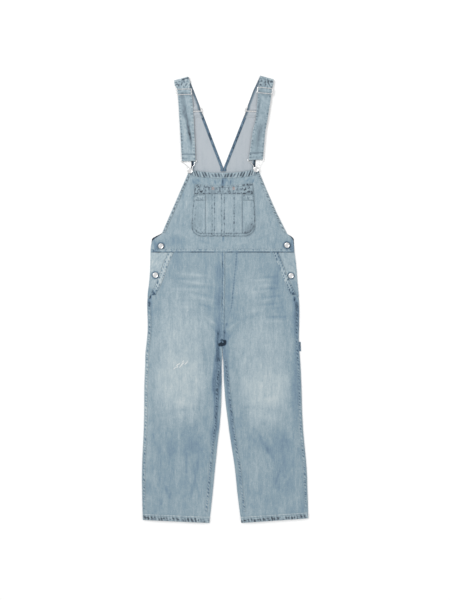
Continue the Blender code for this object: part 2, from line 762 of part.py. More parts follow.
def make_slide(name, row, low, garment):
    """A plate with two slots, square to the strap and lying on it."""
    data = bpy.data.curves.new(name, "CURVE")
    data.dimensions = "2D"
    data.fill_mode = "BOTH"
    data.extrude = SLIDE_THICK / 2 * MM
    half_x, half_y = SLIDE_LENGTH / 2, SLIDE_HEIGHT / 2
    slot_half = (half_y - SLIDE_RIM - SLIDE_MIDDLE_BAR / 2) / 2
    slot_middle = SLIDE_MIDDLE_BAR / 2 + slot_half
    outlines = [rounded_box(half_x, half_y, SLIDE_CORNER)]
    for sign in (-1, 1):
        outlines.append(rounded_box(half_x - SLIDE_RIM, slot_half, 1, sign * slot_middle, 2))
    for outline in outlines:
        spline = data.splines.new("POLY")
        spline.points.add(len(outline) - 1)
        for point, (x, y) in zip(spline.points, outline):
            point.co = (x * MM, y * MM, 0, 1)
        spline.use_cyclic_u = True
    thing = bpy.data.objects.new(name, data)
    middle = ((row.outer_x + row.inner_x) / 2, (row.outer_y + row.inner_y) / 2)
    lean = atan2(row.inner_y - row.outer_y, row.inner_x - row.outer_x)
    thing.location = (middle[0] * MM, middle[1] * MM, (low + SLIDE_THICK / 2) * MM)
    thing.rotation_euler = (0, 0, lean)
    finish(thing, WHITE_METAL, garment)


def buckle_points(side, spot, wire_high):
    """The buckle's wire: a bar through the strap's tunnel, shoulders, a neck and a round loop."""
    end = STRAPS[side].front[-1]
    down = outward_of(end, -1)
    bar_in = TUNNEL_RADIUS
    middle = ((end.outer_x + end.inner_x) / 2, (end.outer_y + end.inner_y) / 2)
    bar_y = middle[1] - down[1] * bar_in
    bar_x = middle[0] - down[0] * bar_in
    bar_z = (STRAP_FRONT + TUNNEL_RETURN) / 2
    tilt = (end.inner_y - end.outer_y) / (end.inner_x - end.outer_x)
    right_half = [
        (BUCKLE_HALF_WIDTH - 1.5, 0, 0),
        (BUCKLE_HALF_WIDTH, -1.6, 0.05),
        (BUCKLE_HALF_WIDTH - 0.6, -4.2, 0.15),
        (BUCKLE_HALF_WIDTH - 5, -6.6, 0.3),
    ]
    points = []
    for x, y, share in right_half:
        points.append((bar_x + x, bar_y + y + tilt * x, lerp(bar_z, wire_high, share)))
    neck_y = spot.y + BUCKLE_NECK
    points.append((spot.x + BUCKLE_SHOULDER + 4, neck_y + 5.5, lerp(bar_z, wire_high, 0.6)))
    points.append((spot.x + BUCKLE_SHOULDER, neck_y + 1, lerp(bar_z, wire_high, 0.85)))
    points.append((spot.x + BUCKLE_LOOP, neck_y - 5, wire_high))
    loop_steps = 8
    for i in range(loop_steps + 1):
        turn = -pi * i / loop_steps
        points.append((spot.x + BUCKLE_LOOP * cos(turn), spot.y + BUCKLE_LOOP * sin(turn), wire_high))
    points.append((spot.x - BUCKLE_LOOP, neck_y - 5, wire_high))
    points.append((spot.x - BUCKLE_SHOULDER, neck_y + 1, lerp(bar_z, wire_high, 0.85)))
    points.append((spot.x - BUCKLE_SHOULDER - 4, neck_y + 5.5, lerp(bar_z, wire_high, 0.6)))
    for x, y, share in reversed(right_half):
        points.append((bar_x - x, bar_y + y - tilt * x, lerp(bar_z, wire_high, share)))
    return points


def make_buckle(side, spot, garment):
    hem_high = front_top(spot.x, spot.y - 6) + TRIM_LIFT
    wire_high = hem_high + GAP + WIRE + 0.1
    data = bpy.data.curves.new("buckle_" + side, "CURVE")
    data.dimensions = "3D"
    data.bevel_depth = WIRE * MM
    data.bevel_resolution = 2
    points = buckle_points(side, spot, wire_high)
    spline = data.splines.new("POLY")
    spline.points.add(len(points) - 1)
    for point, place in zip(spline.points, points):
        point.co = (*(c * MM for c in place), 1)
    spline.use_cyclic_u = True
    finish(bpy.data.objects.new("buckle_" + side, data), WHITE_METAL, garment)
    neck = 2 * WIRE + 2 * GAP + 0.1
    make_button("bib_button_" + side, spot, hem_high + GAP, neck, garment)


def make_button(name, spot, low, neck, garment):
    """A tack button turned about its shank, its cap held clear of the cloth by the neck."""
    edge = BUTTON_RADIUS
    profile = (
        (0, neck + BUTTON_CAP),
        (edge - 3, neck + BUTTON_CAP),
        (edge - 2.2, neck + BUTTON_CAP - 0.5),
        (edge - 1.2, neck + BUTTON_CAP - 0.1),
        (edge - 0.3, neck + BUTTON_CAP - 0.8),
        (edge, neck + BUTTON_CAP / 2),
        (edge - 0.8, neck),
        (BUTTON_NECK_RADIUS, neck),
        (BUTTON_NECK_RADIUS, 0),
        (0, 0),
    )
    line = bmesh.new()
    points = [line.verts.new((x * MM, 0, z * MM)) for x, z in profile]
    for here, there in zip(points, points[1:]):
        line.edges.new((here, there))
    mesh = bpy.data.meshes.new(name)
    line.to_mesh(mesh)
    line.free()
    thing = bpy.data.objects.new(name, mesh)
    turned = thing.modifiers.new("Turned", "SCREW")
    turned.steps = 20
    turned.render_steps = 20
    turned.use_merge_vertices = True
    turned.merge_threshold = 0.00001
    turned.use_smooth_shade = True
    thing.location = (spot.x * MM, spot.y * MM, low * MM)
    finish(thing, WHITE_METAL, garment)


def make_side_buttons(garment):
    for spot in SIDE_BUTTONS:
        low = front_top(spot.x, spot.y)
        if spot.y < WAIST:
            low = FRONT_LOW + 0.5 * (low - FRONT_LOW)
        make_button("side_button_" + spot.name, spot, low + GAP + 0.1, SIDE_NECK, garment)


def main():
    clear_scene()
    collection = bpy.data.collections.new("Bib_Overalls")
    bpy.context.scene.collection.children.link(collection)
    empty = bpy.data.objects.new("garment_centre", None)
    empty.location = (-MIDDLE_X * MM, -MIDDLE_Y * MM, 0)
    collection.objects.link(empty)
    garment = namedtuple("Garment", "collection empty")(collection, empty)
    for side in OUTWARD:
        make_leg(side, garment)
        make_hip(side, garment)
        make_seams(side, garment)
        make_back(side, garment)
        make_strap(side, garment)
    make_middle_seams(garment)
    make_bib(garment)
    make_bib_pocket(garment)
    for spot in BIB_BUTTONS:
        make_buckle(spot.name, spot, garment)
    make_side_buttons(garment)


main()
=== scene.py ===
"""Dresses the denim bib overalls: fine cloth, hems, thread, metal, floor, light and camera.

Sizes are in millimetres on the garment: x runs across from the middle of the waist, y up from the
lowest corner of the leg hems, and z up from the floor. Left and right are those of the view from
above with the straps at the top. Tone is how far the denim is washed out, with painted shade added
in places such as stitch grooves and hollows: 0 is dark, 1 is bleached.
"""
import json
from collections import namedtuple
from functools import partial
from math import atan2, cos, exp, floor, hypot, pi, radians, sin

import bmesh
import bpy
from mathutils import Vector, noise
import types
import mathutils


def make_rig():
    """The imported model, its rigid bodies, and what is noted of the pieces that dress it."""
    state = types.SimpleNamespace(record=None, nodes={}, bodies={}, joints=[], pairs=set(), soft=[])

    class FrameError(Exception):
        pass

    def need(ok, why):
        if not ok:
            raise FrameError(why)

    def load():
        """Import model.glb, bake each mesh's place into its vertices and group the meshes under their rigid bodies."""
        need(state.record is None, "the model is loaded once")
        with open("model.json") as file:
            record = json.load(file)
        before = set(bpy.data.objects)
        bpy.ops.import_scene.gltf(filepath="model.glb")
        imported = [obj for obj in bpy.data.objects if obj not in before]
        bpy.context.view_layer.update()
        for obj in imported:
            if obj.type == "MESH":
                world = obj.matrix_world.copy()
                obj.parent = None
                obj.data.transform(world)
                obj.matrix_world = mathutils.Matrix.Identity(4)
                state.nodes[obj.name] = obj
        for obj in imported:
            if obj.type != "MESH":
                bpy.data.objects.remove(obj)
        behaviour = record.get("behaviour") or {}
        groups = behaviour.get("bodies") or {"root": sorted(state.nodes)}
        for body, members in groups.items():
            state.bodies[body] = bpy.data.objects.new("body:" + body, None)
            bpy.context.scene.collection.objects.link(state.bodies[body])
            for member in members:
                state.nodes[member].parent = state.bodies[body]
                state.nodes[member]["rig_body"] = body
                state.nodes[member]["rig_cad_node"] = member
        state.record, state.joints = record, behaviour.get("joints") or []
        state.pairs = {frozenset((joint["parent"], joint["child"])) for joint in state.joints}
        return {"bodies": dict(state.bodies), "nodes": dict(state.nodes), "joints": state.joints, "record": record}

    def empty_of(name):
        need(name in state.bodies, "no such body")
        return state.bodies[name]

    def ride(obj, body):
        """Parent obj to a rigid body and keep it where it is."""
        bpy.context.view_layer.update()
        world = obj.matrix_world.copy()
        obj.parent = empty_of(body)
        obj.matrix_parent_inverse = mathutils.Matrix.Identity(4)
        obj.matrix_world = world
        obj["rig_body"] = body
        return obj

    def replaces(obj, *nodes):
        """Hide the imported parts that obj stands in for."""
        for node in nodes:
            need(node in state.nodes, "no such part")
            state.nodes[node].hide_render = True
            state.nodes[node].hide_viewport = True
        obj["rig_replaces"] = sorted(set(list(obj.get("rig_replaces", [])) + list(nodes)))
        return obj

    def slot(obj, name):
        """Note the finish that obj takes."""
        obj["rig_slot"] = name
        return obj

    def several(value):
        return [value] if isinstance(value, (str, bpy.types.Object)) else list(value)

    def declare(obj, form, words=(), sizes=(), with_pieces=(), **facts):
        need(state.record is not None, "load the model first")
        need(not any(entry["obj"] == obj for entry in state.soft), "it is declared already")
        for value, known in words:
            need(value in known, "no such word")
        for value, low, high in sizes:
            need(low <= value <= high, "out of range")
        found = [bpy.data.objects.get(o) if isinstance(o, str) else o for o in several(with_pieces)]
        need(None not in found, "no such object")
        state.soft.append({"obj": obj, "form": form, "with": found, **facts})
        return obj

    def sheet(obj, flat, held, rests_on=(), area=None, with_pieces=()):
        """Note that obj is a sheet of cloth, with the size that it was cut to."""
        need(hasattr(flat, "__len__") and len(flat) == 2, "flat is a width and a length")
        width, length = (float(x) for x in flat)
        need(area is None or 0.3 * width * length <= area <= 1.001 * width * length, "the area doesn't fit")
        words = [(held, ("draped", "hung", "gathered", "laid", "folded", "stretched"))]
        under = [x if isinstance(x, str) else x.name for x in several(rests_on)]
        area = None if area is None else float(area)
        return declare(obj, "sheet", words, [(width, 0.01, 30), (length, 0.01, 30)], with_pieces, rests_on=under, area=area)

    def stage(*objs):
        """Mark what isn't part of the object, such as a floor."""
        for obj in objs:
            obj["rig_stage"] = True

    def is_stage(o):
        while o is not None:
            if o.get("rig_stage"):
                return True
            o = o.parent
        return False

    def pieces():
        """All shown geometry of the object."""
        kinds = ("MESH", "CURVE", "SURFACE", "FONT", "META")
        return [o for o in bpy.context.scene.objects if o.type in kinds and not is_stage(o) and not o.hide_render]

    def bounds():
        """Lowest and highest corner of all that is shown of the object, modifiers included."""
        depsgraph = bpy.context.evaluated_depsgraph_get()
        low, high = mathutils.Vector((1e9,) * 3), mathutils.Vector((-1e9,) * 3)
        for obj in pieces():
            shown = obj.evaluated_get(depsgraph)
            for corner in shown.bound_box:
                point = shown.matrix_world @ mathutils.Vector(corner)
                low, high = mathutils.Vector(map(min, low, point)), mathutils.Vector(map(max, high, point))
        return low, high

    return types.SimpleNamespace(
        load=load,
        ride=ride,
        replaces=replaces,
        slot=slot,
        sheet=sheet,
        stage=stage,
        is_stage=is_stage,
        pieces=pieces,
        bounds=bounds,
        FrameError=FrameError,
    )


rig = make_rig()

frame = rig.load()
CAD_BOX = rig.bounds()

MM = 0.001

# Cloth
WALL = 1.2
TRIM_WALL = 1.0
BACK_WALL = 1.1
GAP = 0.3
SEAM_HALF_GAP = GAP / 2
BACK_TOP = WALL
FRONT_LOW = BACK_TOP + GAP + WALL + 0.1
BACK_HEADROOM = 0.35
BACK_LIFT = 0.8
BACK_FLAT_FROM = 1120
TRIM_LIFT = GAP + TRIM_WALL

# Lengths up the garment
LENGTH = 1452
CROTCH = 555
WAIST = 884
LEG_TOP = WAIST - SEAM_HALF_GAP
BIB_TOP_MIDDLE = 1137
NECK_APEX = 1153
BACK_HEAD = 1316
BIB_SHADOW_FROM = 1130
LEG_HEM_HEIGHT = 20

# How far the front stands clear of the back
LEG_FULLNESS = 3.2
BIB_FULLNESS = 1.7
FULLNESS_BLEND = 90
ROLL_WIDTH = 18


def rows_of(kind, *rows):
    """A table whose every row is one of the kind."""
    return tuple(kind(*row) for row in rows)


# Across the garment at each height: the legs' four edges, or just a left and a right one
LegRow = namedtuple("LegRow", "height left_outer left_inner right_inner right_outer")
SideRow = namedtuple("SideRow", "height left right")
LEG_ROWS = rows_of(
    LegRow,
    (0, -262, -46, 58, 275), (100, -264, -35, 45, 272.5), (178, -264, -27.5, 37, 269.5),
    (256, -261, -19.5, 25, 262.5), (334, -258, -11, 14, 256.5), (438, -257, -6, 3, 253),
    (516, -254, -5.5, -0.5, 249.5), (555, -253, -3.5, -2.5, 246.5), (600, -248, -2.5, -2.5, 244.5),
    (646, -246, -2, -2, 245.5), (724, -247, -1, -1, 245), (776, -242, 0, 0, 240.5),
    (828, -238, 0, 0, 236.5), (884, -237, 0, 0, 230),
)

# The slanted pocket mouths
MOUTH_FOOT_STEP = 12
POCKET_MOUTH = rows_of(
    SideRow,
    (735, -239, 239), (750, -233, 232), (776, -219, 219), (805, -208, 206), (844, -195, 192),
    (884, -176, 175),
)

# The edges of the bib, and of the back above the waist
BIB_ROWS = rows_of(
    SideRow,
    (884, -237, 230), (903, -235, 228), (917, -231, 227), (929, -215, 219), (938, -201, 207),
    (1010, -169.5, 171), (1085, -137, 138), (1151, -108, 111),
)
BACK_ROWS = rows_of(
    SideRow,
    (884, -237, 230), (924, -232, 228), (932, -218, 219), (939, -203, 205), (950, -188, 191),
    (985, -166, 170), (1030, -146, 150), (1080, -127, 130), (1125, -110, 110), (1160, -104, 103),
    (1240, -109, 110), (1316, -106.5, 108.5),
)

# Soft folds of the front, as in the solids: a share of the fullness, added or taken away
Fold = namedtuple("Fold", "x y length width lift lean")
FOLDS = rows_of(
    Fold,
    (-150, 430, 330, 48, 0.3, 2), (-78, 300, 300, 26, -0.26, -4), (-212, 250, 260, 20, -0.2, 0),
    (-112, 120, 160, 42, 0.28, 6), (122, 470, 320, 46, 0.32, -3), (70, 260, 280, 24, -0.24, -9),
    (190, 190, 240, 26, -0.22, -3), (228, 330, 200, 18, 0.16, 2), (-104, 640, 30, 90, 0.16, 4),
    (104, 650, 28, 90, 0.14, -5), (-70, 800, 70, 60, -0.14, 0), (60, 1010, 90, 60, 0.1, 8),
)
PLAIN_FULLNESS = 0.52

# Bib pocket, with a narrow pencil pocket on each side of it
POCKET_TOP_LEFT = 1101
POCKET_TOP_DIP = 8
POCKET_FOOT = 930
POCKET_CORNER = 36
PENCIL_TOP = 1067
PENCIL_FOOT = 941
PENCIL_HEM_HEIGHT = 20
PENCIL_INNER = {"left": -58, "right": 60}
POCKET_SIDES = rows_of(
    SideRow,
    (930, -106, 104), (968, -105, 103.5), (1017, -101.5, 102), (1066, -97, 99), (1106, -92.5, 93.5),
)

# Straps. Each row gives the two ends of a line across the strap, from the outer edge to the inner one
StrapRow = namedtuple("StrapRow", "outer_x outer_y inner_x inner_y")
StrapCut = namedtuple("StrapCut", "back front slide_row")
STRAPS = {
    "left": StrapCut(
        back=rows_of(StrapRow, (-106.5, 1316.3, -62.5, 1316.3), (-161, 1436, -114, 1449)),
        front=rows_of(
            StrapRow,
            (-161, 1436, -114, 1449), (-157, 1418, -107, 1427), (-151, 1399, -105, 1400),
            (-147, 1374, -101, 1374), (-145, 1342, -98.5, 1342), (-140, 1262, -94.5, 1262),
            (-135, 1175, -91, 1176),
        ),
        slide_row=2,
    ),
    "right": StrapCut(
        back=rows_of(
            StrapRow, (108.5, 1316.3, 64.5, 1316.3), (141, 1397, 97.5, 1406), (163, 1440, 119, 1452)
        ),
        front=rows_of(
            StrapRow,
            (163, 1440, 119, 1452), (161, 1420, 115, 1427), (157.5, 1401, 112, 1406),
            (153, 1374, 110.5, 1374), (143, 1309, 104.5, 1309), (136, 1273, 95, 1273),
            (128, 1181, 82, 1178),
        ),
        slide_row=2,
    ),
}
STRAP_MIDDLE = WALL / 2
STRAP_FRONT = 6.2
TUNNEL_RETURN = BACK_TOP + GAP + WALL / 2
TUNNEL_RADIUS = (STRAP_FRONT - TUNNEL_RETURN) / 2
TUNNEL_TURN_IN = 14
STRAP_WIDTH = 46
BEND_STEPS = 10

# Slides
SLIDE_LENGTH = 50.5
SLIDE_HEIGHT = 20
SLIDE_THICK = 1.6
SLIDE_RIM = 2.3
SLIDE_MIDDLE_BAR = 3
SLIDE_ROUNDING = 2.1
BACK_SLIDE_AT = 22
STRAP_IN_SLIDE = {"back": 40.6, "front": 43.4}
WEAVE_RISE = SLIDE_THICK + 2 * GAP + WALL
CLEAR_OF_SLIDE = 19
Bend = namedtuple("Bend", "offset rise")
BACK_WEAVE = rows_of(Bend, (-10.8, 1), (-7.1, 1), (-2.2, 0), (2.2, 0), (7.1, 1), (10.8, 1))
FRONT_WEAVE = rows_of(Bend, (-11, 0), (-7.3, 0), (-2.1, 1), (2.1, 1), (7.3, 0), (11, 0))

# Buckles and buttons
WIRE = 1.15
BUCKLE_HALF_WIDTH = 25.5
BUCKLE_SHOULDER = 9
BUCKLE_LOOP = 8
BUCKLE_NECK = 12
BUTTON_RADIUS = 8.5
BUTTON_CAP = 2.6
BUTTON_NECK_RADIUS = 3
BIB_NECK = 2 * WIRE + 2 * GAP + 0.1
SIDE_NECK = 1.8
# The rings of a button's face, from its rim inwards: how wide, and how far it steps up
BUTTON_RINGS = ((1.5, 0), (0.8, -0.7), (2.2, 0.25), (1.8, 0.22))
ButtonSpot = namedtuple("ButtonSpot", "name x y")
BIB_BUTTONS = rows_of(ButtonSpot, ("left", -108.5, 1144), ("right", 105.5, 1148))
SIDE_BUTTONS = rows_of(
    ButtonSpot,
    ("upper_left", -203, 899), ("upper_right", 206, 902),
    ("lower_left", -221, 805), ("lower_right", 219, 803),
)

# Trims
BIB_HEM_HEIGHT = 17
BIB_SIDE_HEM_WIDTH = 8.5
BIB_SIDE_HEM_FOOT = 943
NECK_HEM_WIDTH = 8
NECK_HEM_BELOW = 11
WAIST_SEAM_HEIGHT = 11
POCKET_EDGE_WIDTH = 16
POCKET_EDGE_FOOT = 741
SEAM_WIDTH = 9
CENTRE_SEAM_FOOT = 570
LEG_SEAM_FOOT = 38
INSEAM_TOP = 535
OUTSEAM_TOP = 715
INSEAM_INSET = 15
OUTSEAM_INSET = 6.5
TRIM_INSET = 0.7
TAB_HEIGHT = 30
TAB_REACH = 5.5
TAB_FOOT = 558
TAB_WALL = 2

# Creases of the front, finer than the folds: lift in millimetres, lean in degrees from upright
Crease = namedtuple("Crease", "x y length width lift lean")
CREASES = rows_of(
    Crease,
    # whiskers on the left hip
    (-96, 806, 62, 5, 0.75, 86), (-118, 793, 50, 4.5, -0.55, 88), (-84, 779, 58, 5, 0.85, 84),
    (-92, 768, 50, 4, -0.5, 86), (-104, 758, 66, 5, 0.6, 88), (-72, 742, 44, 5.5, -0.55, 82),
    (-64, 728, 46, 6, 0.6, 80), (-128, 722, 52, 7, -0.35, 92), (-60, 706, 36, 6, -0.5, 76),
    (-116, 700, 56, 8, 0.35, 90),
    # whiskers on the right hip
    (150, 799, 38, 4.5, -0.75, 92), (120, 788, 46, 5, 0.55, 94), (146, 772, 34, 4.5, 0.55, 92),
    (150, 761, 42, 4.5, -0.8, 94), (104, 750, 52, 6, 0.5, 95), (155, 735, 38, 4.5, -0.75, 95),
    (140, 723, 44, 5, 0.6, 96), (150, 711, 46, 4.5, -0.8, 97), (160, 697, 36, 4.5, -0.5, 95),
    (108, 690, 48, 6, 0.45, 98), (172, 669, 42, 5, -0.9, 92), (168, 655, 46, 6, 0.55, 93),
    (84, 668, 40, 7, -0.35, 104),
    # creases that run out from the crotch
    (-34, 652, 46, 6, 0.7, 56), (-28, 628, 40, 5, -0.65, 44), (-40, 604, 52, 7, 0.6, 28),
    (30, 640, 44, 6, 0.65, -52), (24, 612, 40, 5, -0.6, -36), (40, 588, 50, 7, 0.5, -20),
    (-13, 742, 96, 5, -0.3, 1),
    # thighs and knees
    (-178, 600, 90, 9, 0.3, 8), (-212, 548, 110, 8, -0.35, -4), (-60, 520, 100, 8, -0.35, 5),
    (-150, 392, 66, 10, 0.35, 82), (-128, 368, 70, 9, -0.4, 94), (-170, 344, 60, 9, 0.35, 100),
    (70, 540, 110, 8, 0.35, -6), (206, 560, 120, 9, -0.35, 4), (228, 500, 140, 7, 0.35, 1),
    (150, 402, 66, 10, 0.35, 98), (120, 372, 74, 9, -0.4, 84), (160, 338, 60, 9, 0.35, 78),
    # shins
    (-144, 196, 100, 7, 0.35, 1), (-122, 210, 96, 5, -0.4, 3), (-92, 150, 66, 5, -0.7, 12),
    (-80, 118, 52, 5, 0.55, 18), (-196, 116, 56, 6, -0.6, -8), (-178, 92, 46, 5, 0.45, -14),
    (-222, 180, 110, 6, 0.35, 0), (-54, 96, 60, 5, 0.4, 6), (128, 262, 54, 6, -0.7, 28),
    (146, 282, 50, 6, 0.5, 30), (106, 190, 88, 6, 0.45, 2), (82, 150, 80, 5, -0.45, -4),
    (176, 150, 60, 6, -0.65, -20), (196, 128, 56, 5, 0.5, -24), (150, 84, 50, 5, 0.4, 10),
    (236, 170, 90, 6, 0.35, -2),
    # bib
    (-2, 1104, 30, 4, -0.8, 0), (-14, 1112, 18, 4, 0.5, 24), (14, 1112, 18, 4, 0.5, -24),
    (-130, 1010, 64, 6, 0.5, -18), (-148, 984, 60, 5, -0.45, -20), (-122, 930, 40, 5, 0.4, 60),
    (-60, 912, 42, 5, -0.4, 74), (0, 920, 10, 4, -0.8, 0), (56, 908, 52, 5, 0.4, 96),
    (138, 1000, 66, 6, 0.5, 19), (156, 968, 52, 5, -0.45, 22), (124, 926, 44, 5, -0.4, 112),
    (-84, 1098, 26, 5, -0.6, 40), (-66, 1108, 28, 4, 0.5, 52), (84, 1100, 26, 5, -0.6, -36),
    (64, 1112, 28, 4, 0.5, -54),
)
WORN = 0.17

# Creases of the hidden side: how far the back is drawn up from the floor
BACK_CREASES = rows_of(
    Crease,
    (-120, 830, 90, 9, 0.8, 84), (110, 812, 80, 8, 0.7, 97), (-70, 700, 60, 8, 1, 62),
    (66, 690, 64, 8, 1, -58), (-110, 590, 70, 9, 0.9, 80), (118, 600, 66, 9, 0.8, 102),
    (-150, 440, 74, 10, 1, 96), (-120, 408, 60, 9, 0.8, 78), (140, 430, 76, 10, 1, 82),
    (126, 396, 58, 9, 0.7, 104), (-160, 230, 120, 8, 0.8, 4), (-90, 150, 90, 8, 0.7, -10),
    (150, 210, 120, 8, 0.8, -5), (210, 120, 80, 8, 0.6, 8), (-96, 1000, 70, 8, 0.7, -20),
    (100, 1010, 70, 8, 0.7, 22), (-30, 940, 50, 7, 0.6, 70), (40, 960, 50, 7, 0.6, 108),
)

# Washed and dark places of the front. Soft is how gradually a patch fades out at its edge
Patch = namedtuple("Patch", "x y length width tone lean soft", defaults=(0, 0.6))
PATCHES = rows_of(
    Patch,
    # bleached thighs and knees
    (-143, 560, 180, 88, 0.11, 1, 0.3), (-146, 440, 118, 84, 0.12, 0, 0.34), (-128, 620, 60, 70, 0.05),
    (128, 520, 160, 84, 0.11, 0, 0.3), (134, 410, 96, 74, 0.12, 0, 0.34),
    (96, 760, 70, 42, 0.08, 4, 0.7), (-110, 770, 60, 66, 0.06, 0, 0.8),
    # dark middle, crotch and inseams
    (-16, 730, 130, 12, -0.12, 0, 0.22), (13, 700, 76, 10, -0.07, 2), (12, 800, 80, 7, -0.03, 0, 0.5),
    (-4, 640, 34, 18, -0.1, 0, 0.7), (-2, 600, 20, 22, -0.12), (-21, 470, 150, 13, -0.32, -1, 0.28),
    (-18, 548, 34, 9, -0.14, 0, 0.4), (-30, 310, 60, 9, -0.16, -5, 0.7), (10, 500, 110, 8, -0.22, 3),
    (26, 330, 70, 7, -0.18, 6, 0.7),
    # outer sides
    (-254, 430, 300, 11, 0.14, 1, 0.8), (-244, 690, 60, 12, -0.06, 0, 0.8),
    (236, 500, 150, 16, -0.17, 0, 0.55), (262, 160, 160, 9, -0.06, -3, 0.7),
    (236, 696, 30, 9, -0.32, 3), (240, 640, 30, 8, -0.18, 0, 0.7), (-240, 740, 34, 8, -0.18, 2),
    # hips
    (176, 806, 76, 13, -0.1, -10, 0.7), (160, 716, 66, 34, -0.04, 0, 0.8),
    (-150, 818, 50, 24, -0.05, 0, 0.8),
    # shins
    (-108, 262, 30, 34, -0.08, 4, 0.7), (-170, 246, 24, 20, -0.09, 0, 0.7),
    (-84, 222, 40, 22, -0.05, 0, 0.8), (-92, 146, 52, 9, -0.11, -12), (-180, 100, 12, 11, -0.13, 20),
    (-244, 118, 24, 10, -0.1), (-196, 200, 60, 40, -0.03, 0, 0.8), (-144, 190, 90, 9, 0.04, 0, 0.8),
    (-60, 56, 42, 40, 0.06, 0, 0.8), (150, 238, 30, 8, -0.13, 26), (190, 240, 48, 34, -0.09, 30, 0.7),
    (168, 268, 30, 50, -0.04, 0, 0.8), (198, 140, 60, 28, -0.08, 0, 0.7),
    (112, 186, 50, 24, 0.06, -2, 0.8), (214, 66, 40, 30, 0.03, 0, 0.8), (92, 44, 30, 40, 0.04, 0, 0.8),
    # bib
    (-160, 913, 18, 44, -0.1, 0, 0.7), (168, 908, 14, 40, -0.09, 0, 0.7),
    (-150, 1010, 90, 20, 0.03, -22, 0.8), (0, 1114, 16, 108, -0.06, 0, 0.8), (-2, 1112, 20, 6, -0.2),
    (0, 921, 8, 4, -0.12), (82, 958, 20, 17, -0.22, 20), (-88, 990, 44, 10, -0.06, 0, 0.7),
    (-42, 1020, 60, 8, -0.05, 0, 0.8), (44, 1010, 60, 9, -0.06, 0, 0.8), (-222, 905, 22, 9, -0.26, 12),
    (224, 903, 22, 9, -0.26, -12),
    # straps
    (-119, 1316, 78, 6, -0.36, 12), (-108, 1250, 44, 5, -0.26, 9, 0.7),
    (-138, 1274, 40, 4, -0.16, 2, 0.8), (-144, 1392, 6, 14, -0.14),
    (-134, 1428, 10, 18, -0.16, 20, 0.8), (-122, 1388, 8, 14, -0.14, 0, 0.8),
    (-134, 1196, 40, 5, -0.12, 3, 0.7), (116, 1262, 34, 14, -0.22, -14),
    (104, 1216, 30, 14, -0.1, -8, 0.7), (112, 1340, 40, 4, -0.22, -8, 0.7),
    (140, 1430, 10, 18, -0.18, -20, 0.8), (134, 1392, 8, 16, -0.16, 0, 0.8),
)

# Small marks with a sharp edge: dark puckers, blotches and white abraded places
MARKS = rows_of(
    Patch,
    # the crotch, whose darkest marks are painted shadow in the hollow where the seams meet
    (-7, 580, 7, 8, -0.7, 20, 0.4), (4, 585, 9, 6, -0.66, -10, 0.4), (-6, 593, 5, 6, -0.36, 0, 0.5),
    (-1, 586, 3, 2.8, 0.5), (-15, 562, 12, 3.6, -0.1, 8), (3, 620, 7, 3, -0.24, 10),
    (10, 645, 6, 3, -0.22, -30), (-2, 648, 5, 3, -0.2, 20),
    # abraded threads on the left thigh, and a spot above them
    (-158, 503, 4.2, 1.5, 0.42, -50), (-150, 507, 3, 1.4, 0.34, -35), (-147, 515, 7, 1.7, 0.44, -58),
    (-139, 509, 5, 1.6, 0.4, -48), (-133, 517, 7.5, 1.7, 0.46, -50), (-131, 525, 3.4, 1.4, 0.36, -40),
    (-121, 519, 6, 1.7, 0.44, -55), (-117, 526, 3, 1.3, 0.3, -62), (-116, 691, 1.8, 2.6, 0.3),
    (-119, 693, 1.8, 2, -0.14),
    # specks on the right thigh
    (124, 496, 4, 1.6, -0.14, 10), (132, 482, 4, 1.6, -0.16, -8), (126, 462, 4.5, 1.6, -0.14, 4),
    (138, 452, 3.5, 1.6, -0.12, 20),
    # the foot of each slanted pocket
    (-235, 757, 9, 4.5, -0.42, 8), (-228, 744, 6, 4, -0.3, -30), (-238, 736, 8, 4, -0.42),
    (-241, 711, 9, 3.6, -0.36, 4), (231, 728, 8, 4, -0.34, -12), (238, 704, 12, 3.6, -0.34),
    # the waist seam's left end
    (-226, 884, 3.4, 5, -0.34), (-217, 879, 2.6, 5, -0.26, -20), (-225, 871, 5, 2.6, -0.24, 16),
    # puckers above the bib pocket's top edge
    (-27, 1107, 7, 2.2, -0.34, 12), (-14, 1111, 5, 2, -0.22, -16), (-3, 1110, 9, 2.4, -0.36),
    (13, 1112, 5, 2, -0.22, 14), (23, 1107, 8, 2.2, -0.36, -8), (-98, 1108, 8, 2.4, -0.26, 24),
    (-82, 1112, 6, 2.2, -0.22, 50), (96, 1110, 8, 2.4, -0.26, -24), (78, 1113, 6, 2.2, -0.22, -50),
    (0, 923, 6, 2.2, -0.16),
)


def lerp(a, b, share):
    return a + (b - a) * share


def ease(share):
    share = min(max(share, 0), 1)
    return share * share * (3 - 2 * share)


def hump(value, width, middle=0):
    """1 at the middle, down to almost 0 two widths away on each side."""
    return exp(-(((value - middle) / width) ** 2))


def steps(count):
    return [i / count for i in range(count + 1)]


def wander(s, seed):
    """Slow smooth change along a length, between about -1 and 1."""
    return noise.noise((s, seed * 7.31, 0.5))


def ripple(x, y, wide, long, seed):
    """Smooth change over a place, with waves about so wide and long, between about -1 and 1."""
    return noise.noise((x / wide, y / long, seed))


def line_through(rows, column):
    def at(height):
        height = min(max(height, rows[0].height), rows[-1].height)
        for low, high in zip(rows, rows[1:]):
            if height <= high.height:
                share = (height - low.height) / (high.height - low.height)
                return lerp(getattr(low, column), getattr(high, column), share)
        return getattr(rows[-1], column)

    return at


def curve_through(rows, column):
    heights = [row.height for row in rows]
    values = [getattr(row, column) for row in rows]

    def slope(i):
        low, high = max(i - 1, 0), min(i + 1, len(rows) - 1)
        return (values[high] - values[low]) / (heights[high] - heights[low])

    def at(height):
        height = min(max(height, heights[0]), heights[-1])
        i = max(k for k in range(len(rows) - 1) if heights[k] <= height)
        span = heights[i + 1] - heights[i]
        t = (height - heights[i]) / span
        from_start = values[i] + slope(i) * span * t
        from_end = values[i + 1] - slope(i + 1) * span * (1 - t)
        return lerp(from_start, from_end, ease(t))

    return at


